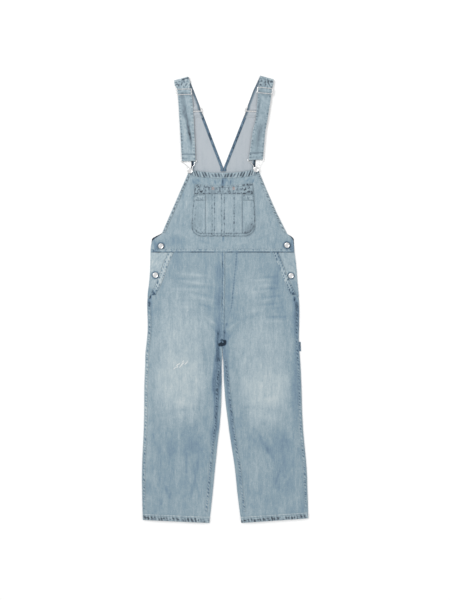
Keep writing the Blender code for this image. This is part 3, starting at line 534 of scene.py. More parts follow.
SIDES = ("left", "right")
LEG_OUTER = {side: curve_through(LEG_ROWS, side + "_outer") for side in SIDES}
LEG_INNER = {side: curve_through(LEG_ROWS, side + "_inner") for side in SIDES}
MOUTH = {side: line_through(POCKET_MOUTH, side) for side in SIDES}
BIB_EDGE = {side: line_through(BIB_ROWS, side) for side in SIDES}
BACK_EDGE = {side: line_through(BACK_ROWS, side) for side in SIDES}
POCKET_EDGE = {side: line_through(POCKET_SIDES, side) for side in SIDES}
OUTWARD = {"left": -1, "right": 1}
MIDDLE_X = (min(row.left_outer for row in LEG_ROWS) + max(row.right_outer for row in LEG_ROWS)) / 2
MIDDLE_Y = LENGTH / 2


def metres(x, y, z):
    """A place on the garment, in the frame."""
    return (x - MIDDLE_X) * MM, (y - MIDDLE_Y) * MM, z * MM


def leg_inner(side, y):
    return LEG_INNER[side](y) + OUTWARD[side] * SEAM_HALF_GAP


def neck_edge(side, y):
    head = STRAPS[side].back[0]
    share = max(0, y - NECK_APEX) / (head.inner_y - NECK_APEX)
    return head.inner_x * share + OUTWARD[side] * SEAM_HALF_GAP


def near(crease, x, y):
    """How much of a fold or crease is felt at a place."""
    lean = radians(crease.lean)
    dx, dy = x - crease.x, y - crease.y
    if abs(dx) + abs(dy) > 2.4 * (crease.length + crease.width):
        return 0
    along = (-dx * sin(lean) + dy * cos(lean)) / crease.length
    across = (dx * cos(lean) + dy * sin(lean)) / crease.width
    return exp(-2 * along * along - 2 * across * across)


def edge_distance(x, y):
    """How far a place on the front is from the nearest edge of the garment."""
    if y > WAIST:
        return min(x - BIB_EDGE["left"](y), BIB_EDGE["right"](y) - x)
    distance = min(x - LEG_OUTER["left"](y), LEG_OUTER["right"](y) - x)
    left_in, right_in = LEG_INNER["left"](y), LEG_INNER["right"](y)
    inner = left_in - x if x < (left_in + right_in) / 2 else x - right_in
    return min(distance, max(inner, 0) + max(0, y - CROTCH))


def front_form(x, y):
    """Height of the front's upper side in the solids, and how far up the edge's roll it is."""
    total = PLAIN_FULLNESS + sum(fold.lift * near(fold, x, y) for fold in FOLDS)
    blend = ease((WAIST + FULLNESS_BLEND / 2 - y) / FULLNESS_BLEND)
    fullness = lerp(BIB_FULLNESS, LEG_FULLNESS, blend)
    roll = 1 - hump(max(edge_distance(x, y), 0), ROLL_WIDTH)
    return FRONT_LOW + fullness * roll * min(max(total, 0.08), 1), roll


def creases_at(x, y):
    return sum(crease.lift * near(crease, x, y) for crease in CREASES)


def cloth_top(x, y):
    """Height of the dressed front's upper side: the form with its creases and slight waviness."""
    form, roll = front_form(x, y)
    waves = 0.30 * ripple(x, y, 34, 60, 3.1) + 0.16 * ripple(x, y, 13, 24, 7.7)
    return max(FRONT_LOW, form + roll * (0.25 + 0.9 * creases_at(x, y) + waves))


def patched(x, y, patches):
    total = 0
    for patch in patches:
        dx, dy = x - patch.x, y - patch.y
        if abs(dx) + abs(dy) > 2.6 * (patch.length + patch.width):
            continue
        lean = radians(patch.lean)
        along = (-dx * sin(lean) + dy * cos(lean)) / patch.length
        across = (dx * cos(lean) + dy * sin(lean)) / patch.width
        reach = hypot(along, across)
        total += patch.tone * (1 - ease((reach - 1 + patch.soft) / (2 * patch.soft)))
    return total


def tone_at(x, y):
    """Tone of the front of the garment."""
    if y > 1160:
        base = 0.77
    elif y > WAIST:
        base = 0.64
    else:
        base = lerp(0.57, 0.60, ease((y - 290) / 120)) - 0.015 * ease((y - 600) / 80)
    ragged = 9 * ripple(x, y, 26, 60, 11.3), 22 * ripple(x, y, 14, 90, 5.2)
    tone = base + patched(x + ragged[0], y + ragged[1], PATCHES) + WORN * creases_at(x, y)
    tone += patched(x, y, MARKS) + 0.05 * ripple(x, y, 18, 34, 2.4)
    return tone - 0.06 * exp(-max(edge_distance(x, y), 0) / 4)


def blotches(x, y, fine, seed):
    """Irregular dark spots about as wide as fine, from 0 to 1."""
    return ease((noise.noise((x / fine, y / fine / 1.5, seed)) - 0.02) / 0.22)


def back_low(x, y):
    """How far the hidden side of the back stands off the floor."""
    seams = min(abs(x - LEG_OUTER["left"](y)), abs(x - LEG_OUTER["right"](y)))
    if y < WAIST:
        seams = min(seams, abs(x - LEG_INNER["left"](y)), abs(x - LEG_INNER["right"](y)))
    else:
        seams = abs(x)
    seams = min(seams, abs(y - WAIST), max(y - LEG_HEM_HEIGHT - 4, 0))
    lifted = ease((seams - 9) / 4)
    room = front_form(x, y)[0] - WALL - BACK_WALL - BACK_HEADROOM if y < BIB_TOP_MIDDLE else BACK_LIFT
    drawn = 0.3 + sum(crease.lift * near(crease, x, y) for crease in BACK_CREASES)
    return max(0, min(lifted * drawn, room))


def back_tone(x, y):
    fade = 0.10 * hump(y, 170, 430) - 0.06 * hump(y, 70, 650)
    return 0.64 + fade + 0.10 * ripple(x, y, 40, 110, 8.8) + 0.05 * ripple(x, y, 12, 40, 1.7)


def deselect():
    if bpy.context.object and bpy.context.object.mode != "OBJECT":
        bpy.ops.object.mode_set(mode="OBJECT")
    bpy.ops.object.select_all(action="DESELECT")


def make_active(thing):
    deselect()
    thing.select_set(True)
    bpy.context.view_layer.objects.active = thing


def placed(name, data):
    thing = bpy.data.objects.new(name, data)
    bpy.context.scene.collection.objects.link(thing)
    return thing


def thicken(thing, thickness, offset):
    wall = thing.modifiers.new("Wall", "SOLIDIFY")
    wall.thickness = thickness * MM
    wall.offset = offset
    return wall


def soften(thing, width, segments, sharpest, smoothest):
    """Rounds the edges that turn more than one angle, and shades smooth those below the other."""
    soft = thing.modifiers.new("Soft", "BEVEL")
    soft.width = width * MM
    soft.segments = segments
    soft.limit_method = "ANGLE"
    soft.angle_limit = radians(sharpest)
    make_active(thing)
    for modifier in list(thing.modifiers):
        bpy.ops.object.modifier_apply(modifier=modifier.name)
    bpy.ops.object.shade_smooth_by_angle(angle=radians(smoothest))


def dress(thing, slot, *nodes):
    """Hangs a finished piece on the frame in place of its solids."""
    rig.ride(thing, "root")
    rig.slot(thing, slot)
    if nodes:
        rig.replaces(thing, *nodes)
    return thing


def cloth(
    name, slot, place, across, along, looks=None, node=None, wall=WALL, offset=-1, bevel=0.3, darkest=0.09
):
    """A thin shell of cloth in place of its solid, whose name is the same without _cloth.

    place(u, v) gives x, y, z, tone and the weave's own two lengths.
    """
    looks = looks or [DENIM]
    surface = bmesh.new()
    grid = [[place(u, v) for u in across] for v in along]
    rows = [[surface.verts.new(metres(*point[:3])) for point in row] for row in grid]
    for lower, upper in zip(rows, rows[1:]):
        for i in range(len(across) - 1):
            surface.faces.new((lower[i], lower[i + 1], upper[i + 1], upper[i]))
    mesh = bpy.data.meshes.new(name)
    surface.to_mesh(mesh)
    surface.free()
    flat = [point for row in grid for point in row]
    tones = mesh.attributes.new("tone", "FLOAT", "POINT")
    tones.data.foreach_set("value", [max(point[3], darkest) for point in flat])
    weave = mesh.uv_layers.new(name="weave")
    for loop, corner in zip(mesh.loops, weave.data):
        corner.uv = (flat[loop.vertex_index][4] * MM, flat[loop.vertex_index][5] * MM)
    for look in looks:
        mesh.materials.append(look)
    thing = placed(name, mesh)
    thicken(thing, wall, offset).material_offset = len(looks) - 1
    soften(thing, bevel, 2, 55, 50)
    return dress(thing, slot, node or name.replace("_cloth", ""))


def trim(name, place, across, along, looks=None, slot="denim_seam", node=None, bevel=0.2, darkest=0.09):
    """A thinner shell that lies on the cloth: a hem, a seam or a pocket."""
    return cloth(name, slot, place, across, along, looks, node, TRIM_WALL, bevel=bevel, darkest=darkest)


def between(side, outer, inner, share):
    """Across a panel in +x order, whichever side it lies on."""
    if side == "left":
        return lerp(outer, inner, share)
    return lerp(inner, outer, share)


def spaced(start, end, gap):
    """Values from start to end, about a gap apart."""
    count = max(2, round(abs(end - start) / gap))
    return [lerp(start, end, i / count) for i in range(count + 1)]


def hem_line(side, x):
    inner, outer = LEG_INNER[side](0), LEG_OUTER[side](0)
    rise = 10 if side == "left" else 15
    return rise * min(max((x - inner) / (outer - inner), 0), 1)


def leg_height(side, x, y):
    """Height up the garment of a place on a leg, whose foot is cut a little aslant."""
    return y + hem_line(side, x) * (1 - ease(y / 160))


def front_outer(side, y):
    """Outer edge of a front leg: the side seam, or beside the pocket its slanted mouth."""
    foot = POCKET_MOUTH[0].height
    if y >= foot:
        return MOUTH[side](y)
    step = ease((y - foot + MOUTH_FOOT_STEP) / MOUTH_FOOT_STEP)
    return lerp(LEG_OUTER[side](y), MOUTH[side](foot), step)


# Fly stitching, as places down the right of the centre seam
FLY = ((43, 876), (41, 850), (37, 810), (33, 770), (29, 730), (26, 700), (20, 682), (9, 671), (4, 668))
FLY_DARK = 1.9
FLY_FOOT = 672

# Buttonholes: the dark ring about each button, unfaded denim with painted shade round the button, and the stitches in
# it
BUTTONHOLE_REACH = 13
BUTTONHOLE_STITCHES = 44
BUTTONHOLE_RADIUS = 9.6


def beside_line(x, y, line):
    """Distance to a line of places."""
    least = 999
    for (ax, ay), (bx, by) in zip(line, line[1:]):
        length = hypot(bx - ax, by - ay)
        t = min(max(((x - ax) * (bx - ax) + (y - ay) * (by - ay)) / length**2, 0), 1)
        least = min(least, hypot(x - lerp(ax, bx, t), y - lerp(ay, by, t)))
    return least


def buttonhole_dark(x, y):
    """The dark ring about a side button: unfaded denim, with painted shade round the button."""
    dark = 0
    for spot in SIDE_BUTTONS:
        reach = hypot(x - spot.x, y - spot.y)
        dark += 0.55 * (1 - ease((reach - BUTTONHOLE_REACH + 3) / 5))
    return dark


def make_front_leg(side):
    wavy = 3 if side == "left" else 8

    def place(u, y):
        x = between(side, front_outer(side, y), leg_inner(side, y), u)
        z = cloth_top(x, y)
        tone = tone_at(x, y)
        if side == "right" and x < 52 and y > 660:
            line = beside_line(x, y, FLY)
            dotted = 0.5 + 0.5 * cos(y * 2 * pi / 9.4 + 3 * wander(y / 14, wavy))
            z -= 0.35 * hump(line, FLY_DARK)
            seen = ease((y - FLY_FOOT) / 34)
            # Painted shade: the fly's stitch groove is darkened in dots.
            tone -= seen * (0.10 + 0.42 * dotted) * hump(line, FLY_DARK)
        return x, leg_height(side, x, min(y, LEG_TOP)), z, tone, x, y

    rows = spaced(0, WAIST, 2.8)
    return cloth("front_leg_cloth_" + side, "denim", place, steps(92), rows, darkest=-0.1)


def make_back_leg(side):
    def place(u, y):
        x = between(side, LEG_OUTER[side](y), leg_inner(side, y), u)
        z = back_low(x, y) + BACK_WALL
        return x, leg_height(side, x, min(y, LEG_TOP)), z, back_tone(x, y), x, y

    rows = spaced(0, WAIST, 4.6)
    return cloth("back_leg_cloth_" + side, "denim", place, steps(50), rows, wall=BACK_WALL)


def hip_top(x, y):
    """The hip facing's upper side, half as far up as the front beside it."""
    return FRONT_LOW + 0.5 * (cloth_top(x, y) - FRONT_LOW)


def make_hip(side):
    """The facing outside the slanted pocket mouth, with the dark ring about its button: unfaded denim and painted
    shade.
    """
    out = OUTWARD[side]

    def place(u, y):
        x = between(side, LEG_OUTER[side](y), MOUTH[side](y) + out * GAP, u)
        tone = 0.79 - 0.18 * ease((790 - y) / 40) - buttonhole_dark(x, y)
        if side == "right":
            tone -= 0.08
        tone += 0.08 * ripple(x, y, 16, 22, 4.0) - 0.12 * exp(-abs(x - LEG_OUTER[side](y)) / 4)
        tone += 0.16 * noise.noise(((x - out * y) / 22, (x + out * y) / 9, 4.4))
        return x, min(y, LEG_TOP), hip_top(x, y), tone, x, y

    rows = spaced(POCKET_MOUTH[0].height + 0.5, WAIST, 2)
    return cloth("hip_facing_cloth_" + side, "denim", place, steps(28), rows)


def bib_top(u):
    rise = 10 if u < 0.5 else 14
    return BIB_TOP_MIDDLE + rise * (2 * u - 1) ** 2


def make_bib():
    def place(u, height):
        share = (height - WAIST) / (BIB_TOP_MIDDLE - WAIST)
        y = max(height, WAIST + SEAM_HALF_GAP) + share**4 * (bib_top(u) - BIB_TOP_MIDDLE)
        x = lerp(BIB_EDGE["left"](y), BIB_EDGE["right"](y), u)
        return x, y, cloth_top(x, y), tone_at(x, y) - buttonhole_dark(x, y), x, y

    rows = spaced(WAIST, BIB_TOP_MIDDLE, 2.5)
    return cloth("bib_cloth", "denim", place, steps(154), rows, node="front_bib")


def make_back_panel(side):
    """Half of the back above the waist: the pale inner face shows in the neckline."""

    def place(u, y):
        x = between(side, BACK_EDGE[side](y), neck_edge(side, y), u)
        low = 0 if y > BACK_FLAT_FROM else back_low(x, y)
        edge = abs(x - BACK_EDGE[side](y))
        # Painted shadow on the back's edge where it shows beside the bib's side flap.
        dark = 0.75 * hump(edge, 11) * (1 - ease((y - 950) / 30))
        # Under each strap's end: the darker turned edge, deepened by painted shadow in the strap's gap.
        dark += 1.15 * hump(edge, 7) * hump(y, 24, 1164)
        if y > NECK_APEX - NECK_HEM_BELOW:
            dark += 0.44 * (1 - ease((abs(x - neck_edge(side, y)) - NECK_HEM_WIDTH) / 3))
        tone = 0.60 + 0.06 * ripple(x, y, 9, 80, 6.2) - dark
        tone -= 0.10 * exp(-max(0, y - bib_top(0.5 + x / 230)) / 14) if y > BIB_SHADOW_FROM else 0
        return x, y, low + BACK_TOP, tone, x, y

    rows = spaced(WAIST + SEAM_HALF_GAP, BACK_HEAD, 3.8)
    name, looks = "back_panel_cloth_" + side, [DENIM_INSIDE, DENIM]
    return cloth(name, "denim_inside", place, steps(48), rows, looks, darkest=0)


# Puckered hems and seams: pale ridges a pitch apart, dark between them from low to high across
Rope = namedtuple("Rope", "pitch wide slant lift tone light depth low high seed")
LEG_HEM = Rope(11.0, 1.3, 0.5, 0.9, 0.02, 0.16, 1.05, -0.10, 0.78, 1)
BIB_HEM = Rope(9.2, 1.5, 0.7, 0.8, 0.08, 0.10, 1.40, -0.12, 1.12, 2)
BIB_SIDE = Rope(10.2, 1.3, 0.4, 0.7, 0.02, 0.12, 1.00, 0.00, 1.00, 3)
WAIST_ROPE = Rope(16, 1.0, 0.6, 0.5, 0.05, 0.04, 0.12, 0.30, 1.00, 4)
CENTRE_ROPE = Rope(12, 1.0, 0.8, 0.5, 0.00, 0.05, 0.20, 0.05, 0.95, 5)
INSEAM_ROPE = Rope(10.2, 1.3, 0.7, 0.8, 0.04, 0.10, 0.80, 0.00, 1.00, 6)
OUTSEAM_ROPE = Rope(10.2, 1.2, 0.5, 0.7, 0.04, 0.12, 0.75, 0.00, 0.90, 7)
MOUTH_ROPE = Rope(9.8, 1.7, 1.3, 0.9, 0.30, 0.12, 1.50, -0.15, 1.15, 8)
POCKET_ROPE = Rope(13, 1.0, 0.4, 0.5, -0.01, 0.05, 0.20, 0.10, 0.95, 9)
PENCIL_ROPE = Rope(9, 1.0, 0.5, 0.5, 0.08, 0.06, 0.26, 0.10, 0.90, 10)
NECK_ROPE = Rope(14, 1.0, 0.4, 0.3, 0.00, 0.06, 0.10, 0.10, 0.90, 11)
STRAP_ROPE = Rope(10, 1.3, 0.0, 0.0, 0.00, 0.14, 0.62, -1.00, 2.00, 12)


# How far along its own pattern one band of a kind starts from another
BAND_SHIFT = 200


def chance(index, seed):
    """A number between 0 and 1 that stays the same for each ridge of a band."""
    return sin(index * 12.99 + seed * 78.23) * 43758.5 % 1


def puckered(rope, s, t, shift=0):
    """Extra height and tone of a roped band at s along it and t across it."""
    s += BAND_SHIFT * shift
    phase = s / rope.pitch + rope.slant * t + 0.9 * wander(s / rope.pitch * 0.4, rope.seed)
    ridge = floor(phase)
    place, width, lean, foot, head, deep = (chance(ridge, rope.seed + 0.7 * k) for k in range(6))
    off = phase - ridge - lerp(0.36, 0.64, place) - (lean - 0.5) * 0.5 * (t - 0.5)
    gap = hump(off / lerp(0.14, 0.27, width), rope.wide)
    inside = ease((t - rope.low - 0.3 * foot) / 0.14) * ease((rope.high - 0.3 * head - t) / 0.14)
    strength = min(max(0.9 + 0.7 * wander(s / rope.pitch * 0.5, rope.seed + 3), 0.5), 1)
    strength *= lerp(0.35, 1, deep)
    belly = sin(pi * min(max(t, 0.02), 0.98)) ** 0.5
    height = rope.lift * belly * (1 - 0.7 * gap * strength)
    pale = rope.light * (1 - gap) * (0.5 + deep)
    return height, rope.tone + pale - inside * strength * rope.depth * gap


def edge_drop(t, width):
    """How far the cloth rolls down at a band's two edges."""
    near_edge = min(t, 1 - t) * width
    return 0.45 * hump(near_edge, 1.1)


def make_leg_hem(side):
    out = OUTWARD[side]

    def place(u, v):
        y = lerp(TRIM_INSET, LEG_HEM_HEIGHT, v)
        outer = LEG_OUTER[side](y) - out * TRIM_INSET
        x = between(side, outer, leg_inner(side, y) + out * TRIM_INSET, u)
        height, tone = puckered(LEG_HEM, x, v, out)
        groove = hump(v, 0.07, 0.76)
        # The groove term is painted shade along the hem's stitch row.
        tone += tone_at(x, y) - 0.24 * groove + 0.14 * ease((v - 0.84) / 0.1)
        tone -= 0.30 * blotches(x, 2 * y, 6, 61) * (1 - ease((v - 0.5) / 0.2))
        z = cloth_top(x, y) + TRIM_LIFT + height - 0.3 * groove - edge_drop(v, LEG_HEM_HEIGHT)
        return x, leg_height(side, x, y), z, tone, x, y

    return trim("leg_hem_cloth_" + side, place, steps(150), steps(15), [HEM_DENIM], bevel=0.3)


def upright_band(name, rope, foot, head, middle, side="left", high=None, shade=None, darkest=0.09):
    """A felled seam that runs up the garment, middle(y) giving its line."""

    def place(u, y):
        x = middle(y) + (u - 0.5) * SEAM_WIDTH
        height, tone = puckered(rope, y, u, OUTWARD[side])
        grooves = hump(u, 0.1, 0.2) + hump(u, 0.1, 0.8)
        z = cloth_top(x, y) + TRIM_LIFT + height - 0.25 * grooves - edge_drop(u, SEAM_WIDTH)
        # The grooves term is painted shade along the two stitch rows.
        tone += tone_at(x, y) - 0.08 * grooves
        if shade:
            tone += shade(u, y)
        return x, high(x, y) if high else y, z, tone, x, y

    return trim(name, place, steps(8), spaced(foot, head, 1.8), darkest=darkest)


def inseam_middle(side):
    def at(y):
        inset = INSEAM_INSET - 8 * ease((y - 440) / 95)
        return LEG_INNER[side](y) + OUTWARD[side] * inset

    return at


def outseam_middle(side):
    return lambda y: LEG_OUTER[side](y) - OUTWARD[side] * OUTSEAM_INSET


def make_leg_seams(side):
    seams = (
        ("inseam_cloth_", INSEAM_ROPE, INSEAM_TOP, inseam_middle(side)),
        ("outseam_cloth_", OUTSEAM_ROPE, OUTSEAM_TOP, outseam_middle(side)),
    )
    high = partial(leg_height, side)
    return [
        upright_band(name + side, rope, LEG_SEAM_FOOT, head, middle, side, high)
        for name, rope, head, middle in seams
    ]


def make_centre_seam():
    def shade(u, y):
        """Painted shade where the seam's left edge turns under, and a paler line along its ridge."""
        strong = ease((y - 640) / 60) * (0.7 + 0.6 * wander(y / 30, 61))
        return strong * (0.12 * hump(u, 0.2, 0.75) - 0.50 * hump(u, 0.30))

    head = WAIST - WAIST_SEAM_HEIGHT / 2 - GAP
    return upright_band(
        "front_seam_cloth", CENTRE_ROPE, CENTRE_SEAM_FOOT, head, LEG_INNER["left"],
        shade=shade, darkest=-0.1,
    )


def make_waist_seam():
    def place(u, v):
        y = WAIST + (v - 0.5) * WAIST_SEAM_HEIGHT
        left, right = LEG_OUTER["left"](min(y, WAIST)), LEG_OUTER["right"](min(y, WAIST))
        x = lerp(left + TRIM_INSET + 1, right - TRIM_INSET - 1, u)
        height, tone = puckered(WAIST_ROPE, x, v)
        foot = 1 - ease((v - 0.20) / 0.16)
        bold = hump(x, 26, -78) + hump(x, 62, 104)
        tone += tone_at(x, y) - (0.34 + 0.62 * bold + 0.5 * wander(x / 9, 21)) * foot
        # Dark blotches, stronger along the stitch row, where they are painted shade in its groove.
        stitched = hump(v, 0.14, 0.78)
        tone -= (0.12 + 0.30 * stitched) * blotches(x, y, 5, 22) * (1 - foot)
        z = cloth_top(x, y) + TRIM_LIFT + height - 0.35 * foot - edge_drop(v, WAIST_SEAM_HEIGHT)
        return x, y, z, tone, x, y

    return trim("waist_seam_cloth", place, steps(260), steps(9))


def make_pocket_edge(side):
    out = OUTWARD[side]
    head = WAIST - WAIST_SEAM_HEIGHT / 2 - GAP

    def place(u, y):
        outer = MOUTH[side](y) - out * TRIM_INSET
        x = between(side, outer, outer - out * POCKET_EDGE_WIDTH, u)
        t = u if side == "left" else 1 - u
        height, tone = puckered(MOUTH_ROPE, y, t, out)
        rows = hump(t, 0.17, 0.15) + hump(t, 0.17, 0.85)
        tone = MOUTH_ROPE.tone + (tone - MOUTH_ROPE.tone) * min(rows, 1)
        blob = (0.25 + 0.45 * blotches(x, y, 6, 71)) * hump(y, 16, 748)
        if side == "right":
            blob += 0.10 + 0.26 * hump(y, 15, 862) * (1 - t)
        z = cloth_top(x, y) + TRIM_LIFT + height - edge_drop(u, POCKET_EDGE_WIDTH)
        return x, y, z, tone + tone_at(x, y) - blob, t * POCKET_EDGE_WIDTH, y * 1.06

    return trim("pocket_edge_cloth_" + side, place, steps(12), spaced(POCKET_EDGE_FOOT, head, 1.5))


def make_bib_top_hem():
    def place(u, v):
        y = bib_top(u) - TRIM_INSET - (1 - v) * BIB_HEM_HEIGHT
        x = lerp(BIB_EDGE["left"](y) + TRIM_INSET, BIB_EDGE["right"](y) - TRIM_INSET, u)
        lean_way = 1 if x < 0 else -1
        height, tone = puckered(BIB_HEM, lean_way * x, v)
        z = cloth_top(x, y) + TRIM_LIFT + height - edge_drop(v, BIB_HEM_HEIGHT)
        return x, y, z, tone + tone_at(x, y), x, y

    return trim("bib_top_hem_cloth", place, steps(150), steps(13), [HEM_DENIM])


def make_bib_side_hem(side):
    out = OUTWARD[side]

    def place(u, y):
        outer = BIB_EDGE[side](y) - out * TRIM_INSET
        x = between(side, outer, outer - out * BIB_SIDE_HEM_WIDTH, u)
        height, tone = puckered(BIB_SIDE, y, u, out)
        z = cloth_top(x, y) + TRIM_LIFT + height - edge_drop(u, BIB_SIDE_HEM_WIDTH)
        return x, y, z, tone + tone_at(x, y), x + 0.44 * out * y, y

    head = bib_top(0 if side == "left" else 1) - BIB_HEM_HEIGHT - 2 * TRIM_INSET - 2
    rows = spaced(BIB_SIDE_HEM_FOOT, head, 1.6)
    return trim("bib_side_hem_cloth_" + side, place, steps(7), rows, [HEM_DENIM])


def pocket_side(side, y, foot=POCKET_FOOT, inset=0):
    radius = POCKET_CORNER
    above = min(max(y - foot, 0), radius)
    turn_in = radius - (radius**2 - (radius - above) ** 2) ** 0.5
    return POCKET_EDGE[side](y) - OUTWARD[side] * (turn_in + inset)


def pocket_top(x):
    share = (x - POCKET_SIDES[-1].left) / (POCKET_SIDES[-1].right - POCKET_SIDES[-1].left)
    share = min(max(share, 0), 1)
    return POCKET_TOP_LEFT + 4 * share - POCKET_TOP_DIP * 4 * share * (1 - share)


def corner_rows(foot, count=14):
    return [foot + POCKET_CORNER * (1 - cos(pi / 2 * i / count)) for i in range(count + 1)]


# Upright stitching that divides the bib pocket
POCKET_LINES = (-37, -29, -6, 2.6, 34.5)


def pocket_outline(x, y, foot=POCKET_FOOT):
    """Distance inwards from the pocket's sides and foot."""
    corner = foot + POCKET_CORNER
    best = min(x - POCKET_EDGE["left"](y), POCKET_EDGE["right"](y) - x, y - foot)
    for side, out in OUTWARD.items():
        centre = POCKET_EDGE[side](y) - out * POCKET_CORNER
        if (x - centre) * out > 0 and y < corner:
            best = min(best, POCKET_CORNER - hypot(x - centre, y - corner))
    return best


def make_bib_pocket():
    def place(u, height):
        x = lerp(pocket_side("left", height), pocket_side("right", height), u)
        share = ease((height - PENCIL_TOP) / (POCKET_TOP_LEFT - PENCIL_TOP))
        y = height + share * (pocket_top(x) - POCKET_TOP_LEFT)
        tone = 0.06 + tone_at(x, y)
        rim = pocket_outline(x, y)
        dots = blotches(x, y, 4.5, 31)
        z = cloth_top(x, y) + TRIM_LIFT + 0.3 * hump(rim, 3, 6)
        # Painted shade, in dark dots, along the stitch rows round the rim and in the grooves of the dividing lines.
        rim_rows = hump(rim, 1.7, 2.2) + hump(rim, 1.7, 9.5)
        cornered = hump(height, 18, 944)
        tone -= (0.14 + 0.20 * cornered + 0.60 * dots) * rim_rows
        for line in POCKET_LINES:
            groove = hump(x, 1.6, line)
            z -= 0.25 * groove
            tone -= (0.06 + 0.70 * dots) * groove
        return x, y, z - 0.3 * hump(rim, 1.2), tone, x, y

    rows = corner_rows(POCKET_FOOT) + spaced(POCKET_FOOT + POCKET_CORNER, POCKET_TOP_LEFT, 2.2)[1:]
    return trim("bib_pocket_cloth", place, steps(104), rows, [HEM_DENIM], "denim")


def make_bib_pocket_hem():
    hem_foot = PENCIL_TOP + GAP + TRIM_INSET

    def place(u, v):
        height = lerp(hem_foot, POCKET_TOP_LEFT, v)
        x = lerp(POCKET_EDGE["left"](height) + TRIM_INSET, POCKET_EDGE["right"](height) - TRIM_INSET, u)
        y = lerp(hem_foot, pocket_top(x) - TRIM_INSET, v)
        raised, tone = puckered(POCKET_ROPE, x, v)
        grooves = hump(v, 0.05, 0.1) + hump(v, 0.05, 0.8)
        z = cloth_top(x, y) + 2 * TRIM_LIFT + raised - 0.3 * grooves - edge_drop(v, 30)
        corner = hump(abs(x), 15, 78) + 0.5
        # The grooves term is painted shade along the hem's two stitch rows.
        tone -= 0.60 * corner * blotches(x, y, 5, 81) + (0.16 + 0.36 * blotches(x, y, 7, 82)) * grooves
        return x, y, z, tone + tone_at(x, y) - 0.16 * (1 - ease(v / 0.06)), x, y

    return trim("bib_pocket_hem_cloth", place, steps(110), steps(18), [HEM_DENIM])


def make_pencil_pocket(side):
    inner = PENCIL_INNER[side]
    out = OUTWARD[side]

    def place(u, y):
        x = between(side, pocket_side(side, y, PENCIL_FOOT, TRIM_INSET + 1), inner, u)
        z = cloth_top(x, y) + 2 * TRIM_LIFT
        edge = abs(x - inner)
        z += 0.35 * hump(edge, 2.4, 4) - 0.3 * hump(edge, 1.2)
        # Painted shade, in dark dots, along the inner edge and the stitch rows.
        tone = 0.04 + tone_at(x, y) - 0.46 * hump(edge, 2.2) * (1.0 if side == "right" else 0.6)
        rim = pocket_outline(x, y, PENCIL_FOOT)
        dots = blotches(x, y, 4.5, 32)
        tone -= (0.12 + 0.46 * dots) * hump(rim, 1.8, 3)
        tone -= 0.42 * dots * hump(rim, 1.6, 11)
        return x, y, z, tone, x, y

    def hem_place(u, y):
        outer = pocket_side(side, y, PENCIL_FOOT, 2 * TRIM_INSET + 1)
        x = between(side, outer, inner + out * TRIM_INSET, u)
        t = (y - PENCIL_TOP + PENCIL_HEM_HEIGHT) / PENCIL_HEM_HEIGHT
        raised, tone = puckered(PENCIL_ROPE, x, t, out)
        grooves = hump(t, 0.07, 0.08) + hump(t, 0.07, 0.86)
        z = cloth_top(x, y) + 3 * TRIM_LIFT + raised - 0.25 * grooves - edge_drop(t, PENCIL_HEM_HEIGHT)
        # The grooves term is painted shade along the two stitch rows.
        tone -= 0.30 * blotches(x, y, 5, 83) + 0.26 * grooves
        return x, y, z, tone + tone_at(x, y), x, y

    rows = corner_rows(PENCIL_FOOT) + spaced(PENCIL_FOOT + POCKET_CORNER, PENCIL_TOP - TRIM_INSET, 2)[1:]
    pocket = trim("pencil_pocket_cloth_" + side, place, steps(24), rows, [HEM_DENIM], "denim")
    rows, node = spaced(PENCIL_TOP - PENCIL_HEM_HEIGHT, PENCIL_TOP - 1.2, 1.4), "pencil_pocket_hem_" + side
    hem = trim("pencil_hem_cloth_" + side, hem_place, steps(26), rows, [HEM_DENIM], node=node)
    return pocket, hem


def make_neck_hem(side):
    out = OUTWARD[side]

    def place(u, y):
        inner = neck_edge(side, y) + out * TRIM_INSET
        x = between(side, inner + out * NECK_HEM_WIDTH, inner, u)
        raised, tone = puckered(NECK_ROPE, y, u, out)
        z = BACK_TOP + TRIM_LIFT + raised - edge_drop(u, NECK_HEM_WIDTH)
        return x, y, z, 0.14 + tone + 0.08 * wander(y / 20, 41), x + 0.35 * out * y, y

    rows = spaced(NECK_APEX - NECK_HEM_BELOW, BACK_HEAD - 1, 2)
    return trim("neck_hem_cloth_" + side, place, steps(5), rows, slot="denim_dark")


def strap_path(rows):
    """The line across the strap at any length along its rows, and the rows' own lengths."""
    marks = [0]
    for here, there in zip(rows, rows[1:]):
        dx = (there.outer_x + there.inner_x - here.outer_x - here.inner_x) / 2
        dy = (there.outer_y + there.inner_y - here.outer_y - here.inner_y) / 2
        marks.append(marks[-1] + hypot(dx, dy))

    def at(length):
        i = max(k for k in range(len(rows) - 1) if marks[k] <= max(length, 0))
        share = (length - marks[i]) / (marks[i + 1] - marks[i])
        return StrapRow(*(lerp(a, b, share) for a, b in zip(rows[i], rows[i + 1])))

    return at, marks


def middle_of(row):
    return (row.outer_x + row.inner_x) / 2, (row.outer_y + row.inner_y) / 2


def narrowed(row, width):
    share = min(1, width / hypot(row.inner_x - row.outer_x, row.inner_y - row.outer_y))
    return StrapRow(*(lerp(middle, end, share) for middle, end in zip(middle_of(row) * 2, row)))


def shifted(row, dx, dy):
    return StrapRow(row.outer_x + dx, row.outer_y + dy, row.inner_x + dx, row.inner_y + dy)


def outward_of(row, towards):
    """Direction square to a line across the strap, up the garment or, if towards is -1, down."""
    dx, dy = row.inner_x - row.outer_x, row.inner_y - row.outer_y
    size = hypot(dx, dy)
    normal = (-dy / size, dx / size)
    if normal[1] * towards < 0:
        normal = (-normal[0], -normal[1])
    return normal


